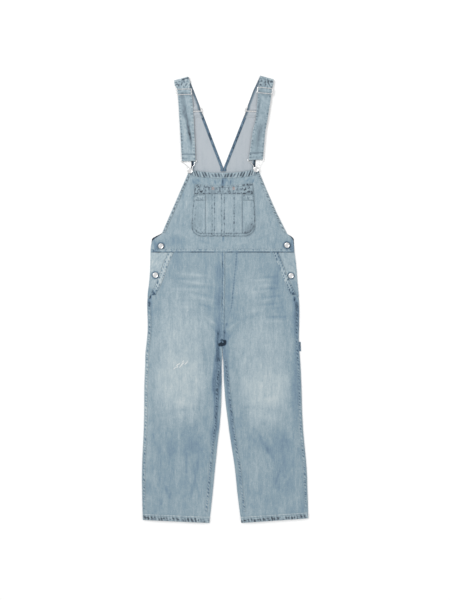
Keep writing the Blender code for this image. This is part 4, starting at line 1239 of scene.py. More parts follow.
def woven(at, length, towards, weave, width, low):
    """Lines across the strap where it goes through a slide, in the strap's own direction."""
    row = narrowed(at(length), width)
    ahead = outward_of(row, towards)
    before, after = at(length - 5), at(length + 5)
    run_x = after.outer_x + after.inner_x - before.outer_x - before.inner_x
    run_y = after.outer_y + after.inner_y - before.outer_y - before.inner_y
    reach = run_x * ahead[0] + run_y * ahead[1]
    stations = []
    for bend in weave:
        line = shifted(row, run_x / reach * bend.offset, run_y / reach * bend.offset)
        stations.append((line, low + bend.rise * WEAVE_RISE))
    return stations


def bent(row, way, start, radius):
    """Lines across the strap round a half turn that begins at a height and goes up, or down if -1."""
    ahead = outward_of(row, way)
    stations = []
    for i in range(BEND_STEPS + 1):
        turn = pi * i / BEND_STEPS
        reach = radius * (sin(turn) - 1)
        line = shifted(row, ahead[0] * reach, ahead[1] * reach)
        stations.append((line, start + way * radius * (1 - cos(turn))))
    return stations


def strap_stations(cut):
    """Lines across the strap with their heights, from the back, over the fold, to the buckle."""
    back_at, back_marks = strap_path(cut.back)
    stations = [(back_at(0), STRAP_MIDDLE), (back_at(BACK_SLIDE_AT - CLEAR_OF_SLIDE), STRAP_MIDDLE)]
    width = STRAP_IN_SLIDE["back"]
    stations += woven(back_at, BACK_SLIDE_AT, 1, BACK_WEAVE, width, STRAP_MIDDLE)
    for share in (0, 0.5):
        length = lerp(BACK_SLIDE_AT + CLEAR_OF_SLIDE, back_marks[-1], share)
        stations.append((back_at(length), STRAP_MIDDLE))
    stations += bent(cut.front[0], 1, STRAP_MIDDLE, (STRAP_FRONT - STRAP_MIDDLE) / 2)
    front_at, front_marks = strap_path(cut.front)
    slide = front_marks[cut.slide_row]
    stations.append((front_at(slide * 0.4), STRAP_FRONT))
    width = STRAP_IN_SLIDE["front"]
    stations += woven(front_at, slide, -1, FRONT_WEAVE, width, STRAP_FRONT)
    for mark in front_marks[cut.slide_row + 1 : -1]:
        stations.append((front_at(mark), STRAP_FRONT))
    end = cut.front[-1]
    stations += bent(end, -1, STRAP_FRONT, TUNNEL_RADIUS)
    down = outward_of(end, -1)
    line = shifted(end, -down[0] * TUNNEL_TURN_IN, -down[1] * TUNNEL_TURN_IN)
    stations.append((line, TUNNEL_RETURN))
    return stations


def strap_lines(cut, gap=1.3):
    """The stations again, a small gap apart and rounded, each with its length along the strap."""
    stations = [(Vector(row[:2]), Vector(row[2:]), z) for row, z in strap_stations(cut)]
    lines, length = [(*stations[0], 0)], 0
    for (out_a, in_a, z_a), (out_b, in_b, z_b) in zip(stations, stations[1:]):
        span = ((out_b + in_b - out_a - in_a) / 2).to_3d()
        span.z = z_b - z_a
        count = max(1, round(span.length / gap))
        for i in range(1, count + 1):
            share = i / count
            length += span.length / count
            lines.append((out_a.lerp(out_b, share), in_a.lerp(in_b, share), lerp(z_a, z_b, share), length))
    rounded = [
        tuple((a[k] + 2 * b[k] + c[k]) / 4 for k in range(4))
        for a, b, c in zip(lines, lines[1:], lines[2:])
    ]
    return [lines[0], *rounded, lines[-1]]


def make_strap(side):
    cut = STRAPS[side]
    lines = strap_lines(cut)
    total = lines[-1][3]
    fold = max(lines, key=lambda line: line[0].y + line[1].y)[3]
    hem_end = total - TUNNEL_TURN_IN - 2

    def place(u, index):
        outer, inner, z, length = lines[index]
        start, end = (outer, inner) if side == "left" else (inner, outer)
        point = start.lerp(end, u)
        edge = min(u, 1 - u) * STRAP_WIDTH
        if length > fold - 4:
            puckers = puckered(STRAP_ROPE, length, 0.5, OUTWARD[side] + round(u))[1]
            tone = tone_at(point.x, point.y) + 0.03 * hump(edge, 2)
            tone += puckers * (hump(edge, 2.4, 3.5) + hump(length - fold, 5, 6))
            crumpled = hump(length - fold, 18, 20)
            tone += (0.12 - 0.60 * blotches(point.x, point.y, 5.5, 91)) * crumpled
            tone -= 0.08 * blotches(point.x, point.y, 7, 92) + (0.03 if side == "right" else -0.03)
        else:
            tone = 0.60 - 0.48 * (1 - ease((inner - point).length / 9 - 0.3))
        # Painted shade along the stitch row across the strap, and where the strap starts to turn under into the
        # buckle's tunnel.
        tone -= 0.35 * hump(length - hem_end, 2.2, -22)
        tone -= 0.30 * hump(length - hem_end, 3.2, -8) * (0.5 + wander(u * 9, 3))
        return point.x, point.y, z, tone, u * STRAP_WIDTH, length

    name, looks = "strap_cloth_" + side, [DENIM_INSIDE, HEM_DENIM]
    return cloth(name, "denim", place, steps(20), range(len(lines)), looks, offset=0, bevel=0.35)


def make_side_tab():
    """A folded loop of unfaded denim caught in the side seam."""

    def place(u, v):
        y = TAB_FOOT + v * TAB_HEIGHT
        x = LEG_OUTER["right"](y) + GAP + u * TAB_REACH
        z = TAB_WALL + 0.25 * sin(pi * v) * (1 - u * u)
        return x, y, z, 0.14 + 0.12 * (1 - u) + 0.1 * wander(y / 5, 51), x, y

    return cloth("side_tab_cloth", "denim_dark", place, steps(5), steps(18), wall=TAB_WALL, bevel=0.4)


# Thread: each stitch is one bead, laid end to end along its row
STITCH = 2.7
STITCH_GAP = 0.7
THREAD = 0.42
THREAD_LOWEST = 0.32
ROWS_TOP = 876
BEAD_POINTS = []
BEAD_FACES = []


def learn_bead():
    """Models one stitch by hand and keeps its points, to be laid along every row."""
    deselect()
    bpy.ops.mesh.primitive_uv_sphere_add(segments=6, ring_count=3, radius=1, rotation=(0, pi / 2, 0))
    bead = bpy.context.object
    bpy.ops.object.transform_apply(location=False, rotation=True, scale=False)
    bead.scale = (STITCH / 2, THREAD, THREAD * 0.8)
    bpy.ops.object.transform_apply(location=False, rotation=False, scale=True)
    BEAD_POINTS.extend(vertex.co.copy() for vertex in bead.data.vertices)
    BEAD_FACES.extend(tuple(face.vertices) for face in bead.data.polygons)
    bpy.data.objects.remove(bead, do_unlink=True)


def row_of(points, gap=STITCH_GAP):
    """Middles and directions of the stitches along a run of points."""
    points = [Vector(point) for point in points]
    stitches, carried = [], STITCH / 2 + gap
    for here, there in zip(points, points[1:]):
        span = (there - here).length
        while carried < span:
            stitches.append((here.lerp(there, carried / span), (there - here).normalized()))
            carried += STITCH + gap
        carried -= span
    return stitches


def row_on(surface, places, high=None):
    """Stitches along a run of places on a surface. A leg's rows follow its slanted foot through high."""
    return row_of([(x, high(x, y) if high else y, surface(x, y)) for x, y in places])


def upright_row(x_at, foot, head, surface, high=None, gap=3):
    return row_on(surface, [(x_at(y), y) for y in spaced(foot, head, gap)], high)


def level_row(y, start, end, surface, high=None, gap=3):
    return row_on(surface, [(x, y) for x in spaced(start, end, gap)], high)


def bartack(x, y, z, length, gap=0.75):
    """A bar of close stitches laid crosswise."""
    count = round(length / gap)
    across = Vector((1, 0, 0))
    return [(Vector((x, y + gap * (i - count / 2), z)), across) for i in range(count + 1)]


def buttonhole(spot, surface, stretch):
    """A buttonhole's stitches, set across its edge all round."""
    stitches = []
    for i in range(BUTTONHOLE_STITCHES):
        turn = 2 * pi * i / BUTTONHOLE_STITCHES
        away = Vector((cos(turn), sin(turn), 0))
        x, y = spot.x + away.x * BUTTONHOLE_RADIUS * stretch, spot.y + away.y * BUTTONHOLE_RADIUS
        stitches.append((Vector((x, y, surface(x, y) + 0.1)), away))
    return stitches


def sew(name, stitches, look=None, slot="denim_seam"):
    """One piece of thread, with a bead at every stitch."""
    points, faces = [], []
    for middle, ahead in stitches:
        across = Vector((0, 0, 1)).cross(ahead)
        if across.length < 0.01:
            continue
        across.normalize()
        up = ahead.cross(across)
        first = len(points)
        for point in BEAD_POINTS:
            place = middle + ahead * point.x + across * point.y + up * point.z
            points.append(metres(place.x, place.y, max(place.z, 0)))
        faces.extend(tuple(first + i for i in face) for face in BEAD_FACES)
    mesh = bpy.data.meshes.new(name)
    mesh.from_pydata(points, [], faces)
    mesh.materials.append(look or THREAD_LOOK)
    mesh.shade_smooth()
    return dress(placed(name, mesh), slot)


def trim_surface(level, extra=0.35):
    """Height at which thread lies on a trim that is so many levels above the front cloth."""
    return lambda x, y: cloth_top(x, y) + level * TRIM_LIFT + extra


def sew_leg(side):
    out = OUTWARD[side]
    high = partial(leg_height, side)
    on_cloth, on_trim = trim_surface(0, 0.1), trim_surface(1, 0.3)
    stitches = []
    for share in (-0.3, 0.3):
        inseam, outseam = inseam_middle(side), outseam_middle(side)
        shift, foot = share * SEAM_WIDTH, LEG_SEAM_FOOT + 2
        stitches += upright_row(lambda y: inseam(y) + shift, foot, INSEAM_TOP - 2, on_trim, high)
        stitches += upright_row(lambda y: outseam(y) + shift, foot, OUTSEAM_TOP - 2, on_trim, high)
    for share in (0.14, 0.86):
        inset = out * (TRIM_INSET + share * POCKET_EDGE_WIDTH)
        stitches += upright_row(lambda y: MOUTH[side](y) - inset, POCKET_EDGE_FOOT + 2, ROWS_TOP, on_trim)
    hem_y = lerp(TRIM_INSET, LEG_HEM_HEIGHT, 0.76)
    inner, outer = leg_inner(side, hem_y) + out * 2, LEG_OUTER[side](hem_y) - out * 2
    stitches += level_row(hem_y, inner, outer, on_trim, high)
    if side == "right":
        for shift, run in ((0, FLY), (-6, FLY[:7])):
            stitches += row_of([(x + shift, y, on_cloth(x + shift, y) - 0.3) for x, y in run])
    return sew("leg_thread_" + side, stitches)


def sew_middle():
    on_trim = trim_surface(1, 0.3)
    stitches = []
    for share in (0.08, 0.36):
        shift = share * SEAM_WIDTH
        stitches += upright_row(lambda y: LEG_INNER["left"](y) + shift, 600, ROWS_TOP, on_trim)
    for y in (WAIST - 3.6, WAIST + 3.8):
        stitches += level_row(y, -234, 228, on_trim)
    return sew("waist_thread", stitches)


def sew_bib():
    on_trim = trim_surface(1, 0.3)
    stitches = []
    for drop in (3.2, BIB_HEM_HEIGHT - 2):
        run = []
        for u in spaced(0.02, 0.98, 0.012):
            y = bib_top(u) - TRIM_INSET - drop
            run.append((lerp(BIB_EDGE["left"](y), BIB_EDGE["right"](y), u), y))
        stitches += row_on(on_trim, run)
    for side, out in OUTWARD.items():
        for inset in (2, 7):
            inwards = out * (TRIM_INSET + inset)
            foot = BIB_SIDE_HEM_FOOT + 1
            stitches += upright_row(lambda y: BIB_EDGE[side](y) - inwards, foot, 1118, on_trim)
    for spot in SIDE_BUTTONS[:2]:
        stitches += buttonhole(spot, cloth_top, 1.25)
    return sew("bib_thread", stitches)


def sew_abraded():
    """Loose white weft threads across the worn place on the left thigh."""
    threads = []
    for mark in (mark for mark in MARKS if mark.tone > 0.33 and mark.y < 600):
        turn = radians(mark.lean)
        reach = Vector((-sin(turn), cos(turn))) * mark.length
        for shift in (-0.7, 0.4):
            side = Vector((reach.y, -reach.x)).normalized() * shift
            ends = [Vector((mark.x, mark.y)) + side + reach * share for share in (-0.9, 0.1, 0.8)]
            ends[1] += side * 0.4
            threads += row_of([(*end, cloth_top(*end) + 0.15) for end in ends], -1.5)
    return sew("abraded_threads", threads, WHITE_THREAD, "denim")


def sew_hip(side):
    spot = next(spot for spot in SIDE_BUTTONS if spot.name == "lower_" + side)
    return sew("hip_thread_" + side, buttonhole(spot, hip_top, 1.15))


def rounded_run(inset):
    """The pocket's sides and rounded foot, set in by so much."""
    radius = POCKET_CORNER - inset
    foot = POCKET_FOOT + inset
    head = PENCIL_TOP - 3
    run = [(POCKET_EDGE["left"](y) + inset, y) for y in spaced(head, foot + radius, 5)]
    for side, start in (("left", pi), ("right", 1.5 * pi)):
        centre = POCKET_EDGE[side](foot + radius) - OUTWARD[side] * (radius + inset)
        for i in range(9):
            turn = start + pi / 2 * i / 8
            run.append((centre + radius * cos(turn), foot + radius + radius * sin(turn)))
    run += [(POCKET_EDGE["right"](y) - inset, y) for y in spaced(foot + radius, head, 5)]
    return run


def sew_pocket():
    on_pocket, on_hem, on_pencil = trim_surface(1, 0.1), trim_surface(2, 0.2), trim_surface(2, 0.15)
    stitches = []
    for line in POCKET_LINES:
        stitches += upright_row(lambda y: line, POCKET_FOOT + 3, PENCIL_TOP - 1, on_pocket)
    for inset in (2.2, 9.5):
        run = []
        for x, y in rounded_run(inset):
            covered = (x < PENCIL_INNER["left"] or x > PENCIL_INNER["right"]) and y > PENCIL_FOOT + 2
            run.append((x, y, (on_pencil if covered else on_pocket)(x, y)))
        stitches += row_of(run)
    for share in (0.1, 0.8):
        places = [(x, lerp(PENCIL_TOP + 1, pocket_top(x), share)) for x in spaced(-91, 92, 3)]
        stitches += row_on(on_hem, places)
    return sew("pocket_thread", stitches)


def sew_pocket_tacks():
    """Two faded bars of close stitches that hold the pocket's hem."""
    on_hem = trim_surface(2, 0.5)
    stitches = []
    y = (PENCIL_TOP + POCKET_TOP_LEFT) / 2 + 2
    for x in (-34, 33):
        for shift in (-3, 0, 3):
            stitches += bartack(x + shift, y, on_hem(x, y), 9)
    return sew("pocket_tacks", stitches, TACK_THREAD)


def sew_pencil(side):
    out = OUTWARD[side]
    inner = PENCIL_INNER[side]
    hem_foot, tack = PENCIL_TOP - PENCIL_HEM_HEIGHT, PENCIL_TOP - 10
    on_hem, on_pencil = trim_surface(3, 0.25), trim_surface(2, 0.1)
    stitches = upright_row(lambda y: inner + out * 2, PENCIL_FOOT + 3, hem_foot - 1, on_pencil)
    for y in (hem_foot + 1.8, PENCIL_TOP - 3.4):
        outer = pocket_side(side, y, PENCIL_FOOT, 3)
        start, end = min(inner + out * 2, outer), max(inner + out * 2, outer)
        stitches += level_row(y, start, end, on_hem)
    for x in (inner + out * 3, pocket_side(side, tack - 1, PENCIL_FOOT, 5)):
        stitches += bartack(x, tack, on_hem(x, tack) + 0.2, 8)
    return sew("pencil_thread_" + side, stitches)


def sew_strap(side):
    """A row down each edge of both faces, and one across above the buckle's tunnel."""
    lines = strap_lines(STRAPS[side])
    total = lines[-1][3]
    stitches = []
    for share in (0.07, 0.93):
        for face in (1, -1):
            run = []
            for before, here, after in zip(lines, lines[1:], lines[2:]):
                ahead = ((after[0] + after[1] - before[0] - before[1]) / 2).to_3d()
                ahead.z = after[2] - before[2]
                across = (here[1] - here[0]).to_3d() * (1 if side == "left" else -1)
                away = across.cross(ahead).normalized() * face * (WALL / 2 + 0.05)
                point = here[0].lerp(here[1], share).to_3d()
                point.z = here[2]
                point += away
                point.z = max(point.z, 0.4)
                run.append(point)
            stitches += row_of(run)
    cross = next(line for line in lines if line[3] > total - 40)
    ends = [end.to_3d() + Vector((0, 0, cross[2] + WALL / 2 + 0.05)) for end in cross[:2]]
    stitches += row_of(ends)
    stitches = [(middle, ahead) for middle, ahead in stitches if middle.z - abs(ahead.z) * STITCH / 2 > 0.3]
    return sew("strap_thread_" + side, stitches)


def sew_back(side):
    """Rows on the hidden side, which lies on the floor."""
    out = OUTWARD[side]
    high = partial(leg_height, side)
    stitches = []

    def low(x, y):
        return max(THREAD_LOWEST, back_low(x, y) - 0.05)

    foot, head = LEG_HEM_HEIGHT + 4, WAIST - 6
    for inset in (2.5, 8):
        stitches += upright_row(lambda y: LEG_OUTER[side](y) - out * inset, foot, head, low, high, 6)
    stitches += upright_row(lambda y: LEG_INNER[side](y) + out * 5, foot, CROTCH - 10, low, high, 6)
    stitches += upright_row(lambda y: out * 4.5, CROTCH + 5, head, low, gap=6)
    hem_y = 16
    inner, outer = LEG_INNER[side](hem_y) + out * 2, LEG_OUTER[side](hem_y) - out * 2
    stitches += level_row(hem_y, inner, outer, low, high, 6)
    return sew("back_leg_thread_" + side, stitches)


def sew_back_panel(side):
    out = OUTWARD[side]

    def low(*_):
        return THREAD_LOWEST

    stitches = upright_row(lambda y: out * 4.5, 890, 1138, low, gap=6)
    stitches += level_row(889, out * 4, out * 226, low, gap=6)
    stitches += upright_row(lambda y: neck_edge(side, y) + out * 5, 1160, 1312, low, gap=6)
    stitches += upright_row(lambda y: BACK_EDGE[side](y) - out * 4, 960, 1312, low, gap=6)
    return sew("back_panel_thread_" + side, stitches)


class Palette:
    """The nodes of one material, with short ways to add and join them."""

    def __init__(self, name):
        self.material = bpy.data.materials.new(name)
        self.material.use_nodes = True
        self.tree = self.material.node_tree
        self.surface = self.tree.nodes["Principled BSDF"]

    def join(self, out, into):
        self.tree.links.new(out, into)

    def coordinate(self, scale, turn=0, source="UV"):
        uv = self.tree.nodes.new("ShaderNodeUVMap") if source == "UV" else None
        if uv:
            uv.uv_map = "weave"
            out = uv.outputs["UV"]
        else:
            out = self.tree.nodes.new("ShaderNodeTexCoord").outputs["Object"]
        mapping = self.tree.nodes.new("ShaderNodeMapping")
        mapping.inputs["Scale"].default_value = scale
        mapping.inputs["Rotation"].default_value = (0, 0, turn)
        self.join(out, mapping.inputs["Vector"])
        return mapping.outputs["Vector"]

    def noise(self, scale, detail=2, source="UV"):
        node = self.tree.nodes.new("ShaderNodeTexNoise")
        node.inputs["Scale"].default_value = 1
        node.inputs["Detail"].default_value = detail
        self.join(self.coordinate(scale, 0, source), node.inputs["Vector"])
        return node.outputs["Fac"]

    def sum(self, operation, a, b, c=None):
        node = self.tree.nodes.new("ShaderNodeMath")
        node.operation = operation
        for value, socket in zip((a, b, c), node.inputs):
            if value is None:
                continue
            if isinstance(value, (int, float)):
                socket.default_value = value
            else:
                self.join(value, socket)
        return node.outputs[0]

    def shades(self, fac, stops):
        node = self.tree.nodes.new("ShaderNodeValToRGB")
        elements = node.color_ramp.elements
        while len(elements) < len(stops):
            elements.new(0.5)
        for element, (position, colour) in zip(elements, stops):
            element.position = position
            element.color = (*colour, 1)
        self.join(fac, node.inputs["Fac"])
        return node.outputs["Color"]

    def bump(self, height, strength, distance):
        node = self.tree.nodes.new("ShaderNodeBump")
        node.inputs["Strength"].default_value = strength
        node.inputs["Distance"].default_value = distance
        self.join(height, node.inputs["Height"])
        self.join(node.outputs["Normal"], self.surface.inputs["Normal"])


# Denim from unwashed to bleached, as tone / TONE_SPAN and linear colour
TONE_SPAN = 1.25
DENIM_SHADES = (
    (0.00, (0.014, 0.026, 0.042)),
    (0.08, (0.062, 0.106, 0.158)),
    (0.16, (0.108, 0.170, 0.234)),
    (0.30, (0.164, 0.242, 0.318)),
    (0.42, (0.214, 0.301, 0.360)),
    (0.48, (0.255, 0.335, 0.383)),
    (0.58, (0.318, 0.398, 0.444)),
    (0.70, (0.405, 0.478, 0.505)),
    (0.82, (0.508, 0.556, 0.572)),
    (1.00, (0.760, 0.780, 0.780)),
)
# The same wash where hems pucker: greyer in the dark folds
HEM_SHADES = (
    (0.00, (0.022, 0.028, 0.034)),
    (0.08, (0.076, 0.100, 0.124)),
    (0.16, (0.122, 0.158, 0.190)),
    (0.30, (0.180, 0.236, 0.280)),
    (0.42, (0.228, 0.298, 0.340)),
    *DENIM_SHADES[5:],
)
INSIDE_SHADES = (
    (0.00, (0.014, 0.024, 0.040)),
    (0.08, (0.080, 0.118, 0.158)),
    (0.20, (0.170, 0.230, 0.280)),
    (0.45, (0.393, 0.434, 0.470)),
    (0.60, (0.451, 0.480, 0.512)),
    (1.00, (0.610, 0.620, 0.640)),
)
TWILL_PITCH = 0.0012

# Slubs and mottling: how fine across and along the warp, per metre, and how strong
CLOTH_GRAIN = (
    ((340, 44, 1), 0.34),
    ((95, 10, 1), 0.26),
    ((420, 260, 1), 0.32),
    ((170, 110, 1), 0.22),
    ((44, 24, 1), 0.26),
)


def cloth_look(name, shades, streaks, twill):
    """Denim: slubs that run with the warp, a diagonal twill, and the tone that each piece carries."""
    paint = Palette(name)
    tone = paint.tree.nodes.new("ShaderNodeAttribute")
    tone.attribute_name = "tone"
    total = tone.outputs["Fac"]
    for scale, amount in CLOTH_GRAIN:
        total = paint.sum("MULTIPLY_ADD", paint.noise(scale, 3), amount * streaks, total)
    total = paint.sum("SUBTRACT", total, streaks / 2 * sum(amount for _, amount in CLOTH_GRAIN))
    wave = paint.tree.nodes.new("ShaderNodeTexWave")
    wave.inputs["Scale"].default_value = 2 * pi / 20 / TWILL_PITCH
    wave.inputs["Distortion"].default_value = 0.6
    paint.join(paint.coordinate((1, 1, 1), radians(28)), wave.inputs["Vector"])
    total = paint.sum("MULTIPLY_ADD", wave.outputs["Fac"], twill, total)
    total = paint.sum("SUBTRACT", total, twill / 2)
    colour = paint.shades(paint.sum("DIVIDE", total, TONE_SPAN), shades)
    paint.join(colour, paint.surface.inputs["Base Color"])
    grain = paint.sum("MULTIPLY_ADD", paint.noise((1500, 700, 1), 2), 0.6, wave.outputs["Fac"])
    paint.bump(grain, 0.35, 0.0003)
    paint.surface.inputs["Roughness"].default_value = 0.92
    paint.surface.inputs["Sheen Weight"].default_value = 0.12
    paint.surface.inputs["Specular IOR Level"].default_value = 0.2
    return paint.material


def thread_look(name, colour):
    paint = Palette(name)
    fibre = paint.noise((2600, 2600, 2600), 2, "Object")
    dark = tuple(c * 0.75 for c in colour)
    paint.join(paint.shades(fibre, ((0.3, dark), (0.7, colour))), paint.surface.inputs["Base Color"])
    paint.bump(fibre, 0.4, 0.0002)
    paint.surface.inputs["Roughness"].default_value = 0.7
    return paint.material


def metal_look(name, bright):
    """White-plated metal, with faint handling marks."""
    paint = Palette(name)
    marks = paint.noise((900, 900, 900), 3, "Object")
    shades = ((0.3, (bright * 0.9,) * 3), (0.7, (bright,) * 3))
    paint.join(paint.shades(marks, shades), paint.surface.inputs["Base Color"])
    rough = paint.sum("MULTIPLY_ADD", paint.noise((260, 260, 260), 3, "Object"), 0.18, 0.17)
    paint.join(rough, paint.surface.inputs["Roughness"])
    paint.bump(marks, 0.06, 0.0001)
    paint.surface.inputs["Metallic"].default_value = 1
    return paint.material


def floor_look():
    paint = Palette("pale_floor")
    grain = paint.noise((30, 30, 30), 2, "Object")
    shades = ((0.3, (0.93, 0.93, 0.93)), (0.7, (0.95, 0.95, 0.95)))
    paint.join(paint.shades(grain, shades), paint.surface.inputs["Base Color"])
    paint.surface.inputs["Roughness"].default_value = 0.9
    paint.surface.inputs["Specular IOR Level"].default_value = 0.1
    return paint.material


DENIM = cloth_look("washed_denim", DENIM_SHADES, 1.0, 0.10)
HEM_DENIM = cloth_look("puckered_denim", HEM_SHADES, 1.0, 0.10)
DENIM_INSIDE = cloth_look("denim_inner_face", INSIDE_SHADES, 0.35, 0.06)
THREAD_LOOK = thread_look("blue_thread", (0.25, 0.34, 0.40))
WHITE_THREAD = thread_look("white_weft_thread", (0.80, 0.83, 0.83))
TACK_THREAD = thread_look("faded_tack_thread", (0.56, 0.47, 0.46))
WHITE_METAL = metal_look("white_plated_metal", 0.9)
# The wire's metal is a little darker than the plated metal: painted shade on the thin wire.
WIRE_METAL = metal_look("drawn_wire", 0.86)


def settle(thing, middle, lean=0):
    """Moves a part modelled about its own middle to its place, and applies that."""
    make_active(thing)
    thing.location = metres(*middle)
    thing.rotation_euler = (0, 0, lean)
    bpy.ops.object.transform_apply(location=True, rotation=True, scale=True)


def pick(test, kind="VERT"):
    """In edit mode, chooses the vertices or faces for which test(place in mm) holds."""
    bpy.ops.mesh.select_mode(type=kind)
    bpy.ops.mesh.select_all(action="DESELECT")
    edited = bmesh.from_edit_mesh(bpy.context.object.data)
    for part in edited.verts if kind == "VERT" else edited.faces:
        place = part.co if kind == "VERT" else part.calc_center_median()
        if test(place / MM):
            part.select_set(True)
    edited.select_flush_mode()
    bmesh.update_edit_mesh(bpy.context.object.data)


def make_slide_blank(name):
    """A plate with two slots: a grid opened twice, rounded, thickened and softened."""
    deselect()
    bpy.ops.mesh.primitive_grid_add(x_subdivisions=3, y_subdivisions=5, size=1)
    slide = bpy.context.object
    slide.name = slide.data.name = name
    half_x, half_y = SLIDE_LENGTH / 2, SLIDE_HEIGHT / 2
    columns = (-half_x, -half_x + SLIDE_RIM, half_x - SLIDE_RIM, half_x)
    bar = SLIDE_MIDDLE_BAR / 2
    rows = (-half_y, -half_y + SLIDE_RIM, -bar, bar, half_y - SLIDE_RIM, half_y)
    for vertex in slide.data.vertices:
        column, row = round((vertex.co.x + 0.5) * 3), round((vertex.co.y + 0.5) * 5)
        vertex.co = (columns[column] * MM, rows[row] * MM, 0)
    bpy.ops.object.mode_set(mode="EDIT")
    pick(lambda p: abs(p.x) < half_x - SLIDE_RIM and bar < abs(p.y) < half_y - SLIDE_RIM, "FACE")
    bpy.ops.mesh.delete(type="FACE")
    pick(lambda p: abs(p.x) > half_x - 0.1 and abs(p.y) > half_y - 0.1)
    bpy.ops.mesh.bevel(offset=SLIDE_ROUNDING * MM, segments=4, affect="VERTICES")
    bpy.ops.object.mode_set(mode="OBJECT")
    thicken(slide, SLIDE_THICK, 0)
    soften(slide, 0.6, 3, 40, 45)
    slide.data.materials.append(WHITE_METAL)
    return slide


def copied(thing, name):
    twin = thing.copy()
    twin.data = thing.data.copy()
    twin.name = twin.data.name = name
    bpy.context.scene.collection.objects.link(twin)
    return twin


def make_slides():
    blank = make_slide_blank("slide_blank")
    made = {}
    for side, cut in STRAPS.items():
        back_at, _ = strap_path(cut.back)
        front_at, front_marks = strap_path(cut.front)
        places = {
            "back": (back_at(BACK_SLIDE_AT), BACK_TOP + GAP),
            "front": (front_at(front_marks[cut.slide_row]), STRAP_FRONT + WALL / 2 + GAP),
        }
        for end, (row, low) in places.items():
            slide = copied(blank, f"{end}_slide_plate_{side}")
            lean = atan2(row.inner_y - row.outer_y, row.inner_x - row.outer_x)
            settle(slide, (*middle_of(row), low + SLIDE_THICK / 2), lean)
            made[end, side] = dress(slide, "white_metal", f"{end}_slide_{side}")
    bpy.data.objects.remove(blank, do_unlink=True)
    return made


def make_button_blank(name, neck):
    """A tack button: a turned disc with a rolled rim and a dished face on a short shank."""
    deselect()
    bpy.ops.mesh.primitive_cylinder_add(
        vertices=40, radius=BUTTON_RADIUS * MM, depth=BUTTON_CAP * MM,
        location=(0, 0, (neck + BUTTON_CAP / 2) * MM),
    )
    button = bpy.context.object
    button.name = button.data.name = name
    bpy.ops.object.transform_apply(location=True, rotation=False, scale=False)
    top = neck + BUTTON_CAP
    bpy.ops.object.mode_set(mode="EDIT")
    pick(lambda p: p.z > top - 0.05, "FACE")
    for width, rise in BUTTON_RINGS:
        bpy.ops.mesh.inset(thickness=width * MM)
        bpy.ops.transform.translate(value=(0, 0, rise * MM))
    pick(lambda p: p.z < neck + 0.05, "FACE")
    bpy.ops.mesh.inset(thickness=(BUTTON_RADIUS - BUTTON_NECK_RADIUS) * MM)
    bpy.ops.mesh.extrude_region_move(TRANSFORM_OT_translate={"value": (0, 0, -neck * MM)})
    bpy.ops.object.mode_set(mode="OBJECT")
    soften(button, 0.55, 3, 28, 50)
    button.data.materials.append(WHITE_METAL)
    return button


def bib_hem_high(spot):
    return front_form(spot.x, spot.y - 6)[0] + TRIM_LIFT


def button_foot(spot):
    """Height at which a button stands on its own layer of cloth."""
    if spot in BIB_BUTTONS:
        return bib_hem_high(spot) + GAP
    low = front_form(spot.x, spot.y)[0]
    if spot.y < WAIST:
        low = FRONT_LOW + 0.5 * (low - FRONT_LOW)
    return low + GAP + 0.1


def make_buttons():
    made = {}
    for kind, spots, neck in (("bib", BIB_BUTTONS, BIB_NECK), ("side", SIDE_BUTTONS, SIDE_NECK)):
        blank = make_button_blank(kind + "_button_blank", neck)
        for spot in spots:
            button = copied(blank, f"{kind}_button_cap_{spot.name}")
            settle(button, (spot.x, spot.y, button_foot(spot)))
            made[spot.name] = dress(button, "white_metal", f"{kind}_button_{spot.name}")
        bpy.data.objects.remove(blank, do_unlink=True)
    return made


def buckle_points(side, spot):
    """The wire's run: a bar through the strap's tunnel, shoulders, a neck and a round loop."""
    high = bib_hem_high(spot) + GAP + WIRE + 0.1
    end = STRAPS[side].front[-1]
    down = outward_of(end, -1)
    bar_x, bar_y = (middle - away * TUNNEL_RADIUS for middle, away in zip(middle_of(end), down))
    bar_z = (STRAP_FRONT + TUNNEL_RETURN) / 2
    tilt = (end.inner_y - end.outer_y) / (end.inner_x - end.outer_x)
    arm = [
        (BUCKLE_HALF_WIDTH - 1.5, 0, 0),
        (BUCKLE_HALF_WIDTH, -1.6, 0.05),
        (BUCKLE_HALF_WIDTH - 0.6, -4.2, 0.15),
        (BUCKLE_HALF_WIDTH - 5, -6.6, 0.3),
    ]
    neck = [(BUCKLE_SHOULDER + 4, 5.5, 0.6), (BUCKLE_SHOULDER, 1, 0.85), (BUCKLE_LOOP, -5, 1)]
    neck_y = spot.y + BUCKLE_NECK

    def half(way):
        points = [(bar_x + way * x, bar_y + y + way * tilt * x, lerp(bar_z, high, t)) for x, y, t in arm]
        return points + [(spot.x + way * x, neck_y + y, lerp(bar_z, high, t)) for x, y, t in neck]

    turns = [-pi * i / 8 for i in range(9)]
    loop = [(spot.x + BUCKLE_LOOP * cos(turn), spot.y + BUCKLE_LOOP * sin(turn), high) for turn in turns]
    return half(1) + loop + half(-1)[::-1]


def make_buckle(side, spot):
    """The bent wire, rounded at every corner, as a curve made solid."""
    name = "buckle_wire_" + side
    data = bpy.data.curves.new(name, "CURVE")
    data.dimensions = "3D"
    data.bevel_depth = WIRE * MM
    data.bevel_resolution = 4
    data.resolution_u = 5
    spline = data.splines.new("BEZIER")
    points = buckle_points(side, spot)
    spline.bezier_points.add(len(points) - 1)
    for point, place in zip(spline.bezier_points, points):
        point.co = metres(*place)
        point.handle_left_type = point.handle_right_type = "AUTO"
    spline.use_cyclic_u = True
    make_active(placed(name, data))
    bpy.ops.object.convert(target="MESH")
    wire = bpy.context.object
    bpy.ops.object.shade_smooth()
    wire.data.materials.append(WIRE_METAL)
    return dress(wire, "white_metal", "buckle_" + side)


def declare(piece, flat, area, rests_on, with_pieces=()):
    under = [thing.name for thing in rests_on]
    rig.sheet(piece, flat=flat, held="laid", rests_on=under, area=area, with_pieces=list(with_pieces))


